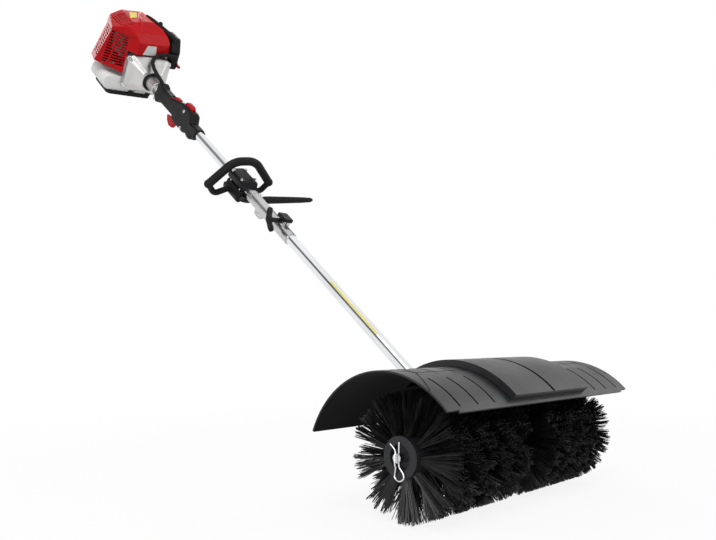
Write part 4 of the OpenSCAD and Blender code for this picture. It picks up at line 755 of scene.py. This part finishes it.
# ---------------------------------------------------------------- stage, camera and light
def stage_material():
    """White to the camera and to mirrors, with the object's shadow near it; a plain grey to other light."""
    g = Graph("pale_floor")
    path = g.add("ShaderNodeLightPath")
    glow = g.add("ShaderNodeEmission", Color=(1, 1, 1, 1), Strength=1.0)
    plain = g.add("ShaderNodeBsdfDiffuse")
    g.put(plain.inputs["Color"], g.mix(path.outputs["Is Camera Ray"], (0.5, 0.5, 0.5), (0.88, 0.88, 0.88)))
    either = g.math("MAXIMUM", path.outputs["Is Camera Ray"], path.outputs["Is Glossy Ray"])
    near = g.add("ShaderNodeVectorMath")
    near.operation = "LENGTH"
    g.put(near.inputs[0], g.coords)
    share = g.add("ShaderNodeMapRange", From_Min=0.5, From_Max=2.2, To_Min=0.88, To_Max=1.0)
    share.interpolation_type = "SMOOTHSTEP"
    g.put(share.inputs["Value"], near.outputs["Value"])
    seen = g.math("MULTIPLY", either, share.outputs["Result"])
    mixer = g.add("ShaderNodeMixShader")
    g.put(mixer.inputs[0], seen)
    g.put(mixer.inputs[1], plain.outputs[0])
    g.put(mixer.inputs[2], glow.outputs[0])
    g.put(g.tree.nodes["Material Output"].inputs["Surface"], mixer.outputs[0])
    return g.material


floor_mesh = bpy.data.meshes.new("floor")
FLOOR = 40.0
floor_mesh.from_pydata([(-FLOOR, -FLOOR, 0), (FLOOR, -FLOOR, 0), (FLOOR, FLOOR, 0), (-FLOOR, FLOOR, 0)], [],
                       [(0, 1, 2, 3)])
floor = bpy.data.objects.new("floor", floor_mesh)
floor_mesh.materials.append(stage_material())
floor.location.z = -0.0005
scene.collection.objects.link(floor)

AZIMUTH, PITCH = math.radians(46.564), math.radians(5.272)
EYE = Vector((-1.11547, -0.72167, 0.28864))
FOCAL_PIXELS, IMAGE_WIDTH = 715.66, 716
look = Vector((math.sin(AZIMUTH) * math.cos(PITCH), math.cos(AZIMUTH) * math.cos(PITCH), math.sin(PITCH)))
camera_data = bpy.data.cameras.new("camera")
camera_data.sensor_width = 36.0
camera_data.lens = 36.0 * FOCAL_PIXELS / IMAGE_WIDTH
camera_data.clip_start = 0.01
camera = bpy.data.objects.new("camera", camera_data)
camera.location = EYE
camera.rotation_mode = "QUATERNION"
camera.rotation_quaternion = look.to_track_quat("-Z", "Y")
scene.collection.objects.link(camera)
scene.camera = camera

world = bpy.data.worlds.new("studio")
scene.world = world
world.use_nodes = True
tree = world.node_tree
sky = tree.nodes["Background"]
sky.inputs["Color"].default_value = (1, 1, 1, 1)
sky.inputs["Strength"].default_value = 0.45
white = tree.nodes.new("ShaderNodeBackground")
white.inputs["Strength"].default_value = 1.0
white.inputs["Color"].default_value = (1, 1, 1, 1)
path = tree.nodes.new("ShaderNodeLightPath")
either = tree.nodes.new("ShaderNodeMath")
either.operation = "MAXIMUM"
either.use_clamp = True
tree.links.new(path.outputs["Is Camera Ray"], either.inputs[0])
tree.links.new(path.outputs["Is Glossy Ray"], either.inputs[1])
either2 = tree.nodes.new("ShaderNodeMath")
either2.operation = "MAXIMUM"
tree.links.new(either.outputs[0], either2.inputs[0])
tree.links.new(path.outputs["Is Transmission Ray"], either2.inputs[1])
blend = tree.nodes.new("ShaderNodeMixShader")
# Dark cards that only mirrors see: they give the tubes the dark streak of a studio
coords = tree.nodes.new("ShaderNodeTexCoord")
dimmest = tree.nodes.new("ShaderNodeMath")
dimmest.operation = "MINIMUM"
for number, (card, wide, narrow, dark) in enumerate((((-0.72, 0.25, 0.65), 20, 9, 0.12),
                                                     ((-0.47, 0.50, 0.74), 25, 15, 0.3))):
    facing = tree.nodes.new("ShaderNodeVectorMath")
    facing.operation = "DOT_PRODUCT"
    facing.inputs[1].default_value = Vector(card).normalized()
    tree.links.new(coords.outputs["Generated"], facing.inputs[0])
    fall = tree.nodes.new("ShaderNodeMapRange")
    fall.interpolation_type = "SMOOTHSTEP"
    tree.links.new(facing.outputs["Value"], fall.inputs["Value"])
    fall.inputs["From Min"].default_value = math.cos(math.radians(wide))
    fall.inputs["From Max"].default_value = math.cos(math.radians(narrow))
    fall.inputs["To Min"].default_value = 1.0
    fall.inputs["To Max"].default_value = dark
    tree.links.new(fall.outputs["Result"], dimmest.inputs[number])
mirrored = tree.nodes.new("ShaderNodeBackground")
tree.links.new(dimmest.outputs[0], mirrored.inputs["Strength"])
mirrored.inputs["Color"].default_value = (1, 1, 1, 1)
seen = tree.nodes.new("ShaderNodeMixShader")
tree.links.new(path.outputs["Is Glossy Ray"], seen.inputs[0])
tree.links.new(white.outputs[0], seen.inputs[1])
tree.links.new(mirrored.outputs[0], seen.inputs[2])
tree.links.new(either2.outputs[0], blend.inputs[0])
tree.links.new(sky.outputs[0], blend.inputs[1])
tree.links.new(seen.outputs[0], blend.inputs[2])
tree.links.new(blend.outputs[0], tree.nodes["World Output"].inputs["Surface"])


def softbox(name, place, aim, size, power):
    data = bpy.data.lights.new(name, "AREA")
    data.shape = "RECTANGLE"
    data.size, data.size_y = size
    data.energy = power
    lamp = bpy.data.objects.new(name, data)
    lamp.location = place
    lamp.rotation_mode = "QUATERNION"
    lamp.rotation_quaternion = (Vector(aim) - Vector(place)).to_track_quat("-Z", "Y")
    scene.collection.objects.link(lamp)


softbox("key", (-1.6, -1.2, 3.2), (0, 0.5, 0.4), (2.4, 2.0), 60)
softbox("fill", (2.4, -1.4, 1.8), (0, 0.4, 0.4), (2.0, 2.0), 22)
softbox("rim", (0.5, 3.0, 2.6), (0, 0.5, 0.5), (2.0, 1.5), 25)
softbox("low", (-1.7, -0.1, 0.25), (-0.05, 0.9, 0.8), (1.4, 0.9), 14)

scene.view_settings.view_transform = "Standard"
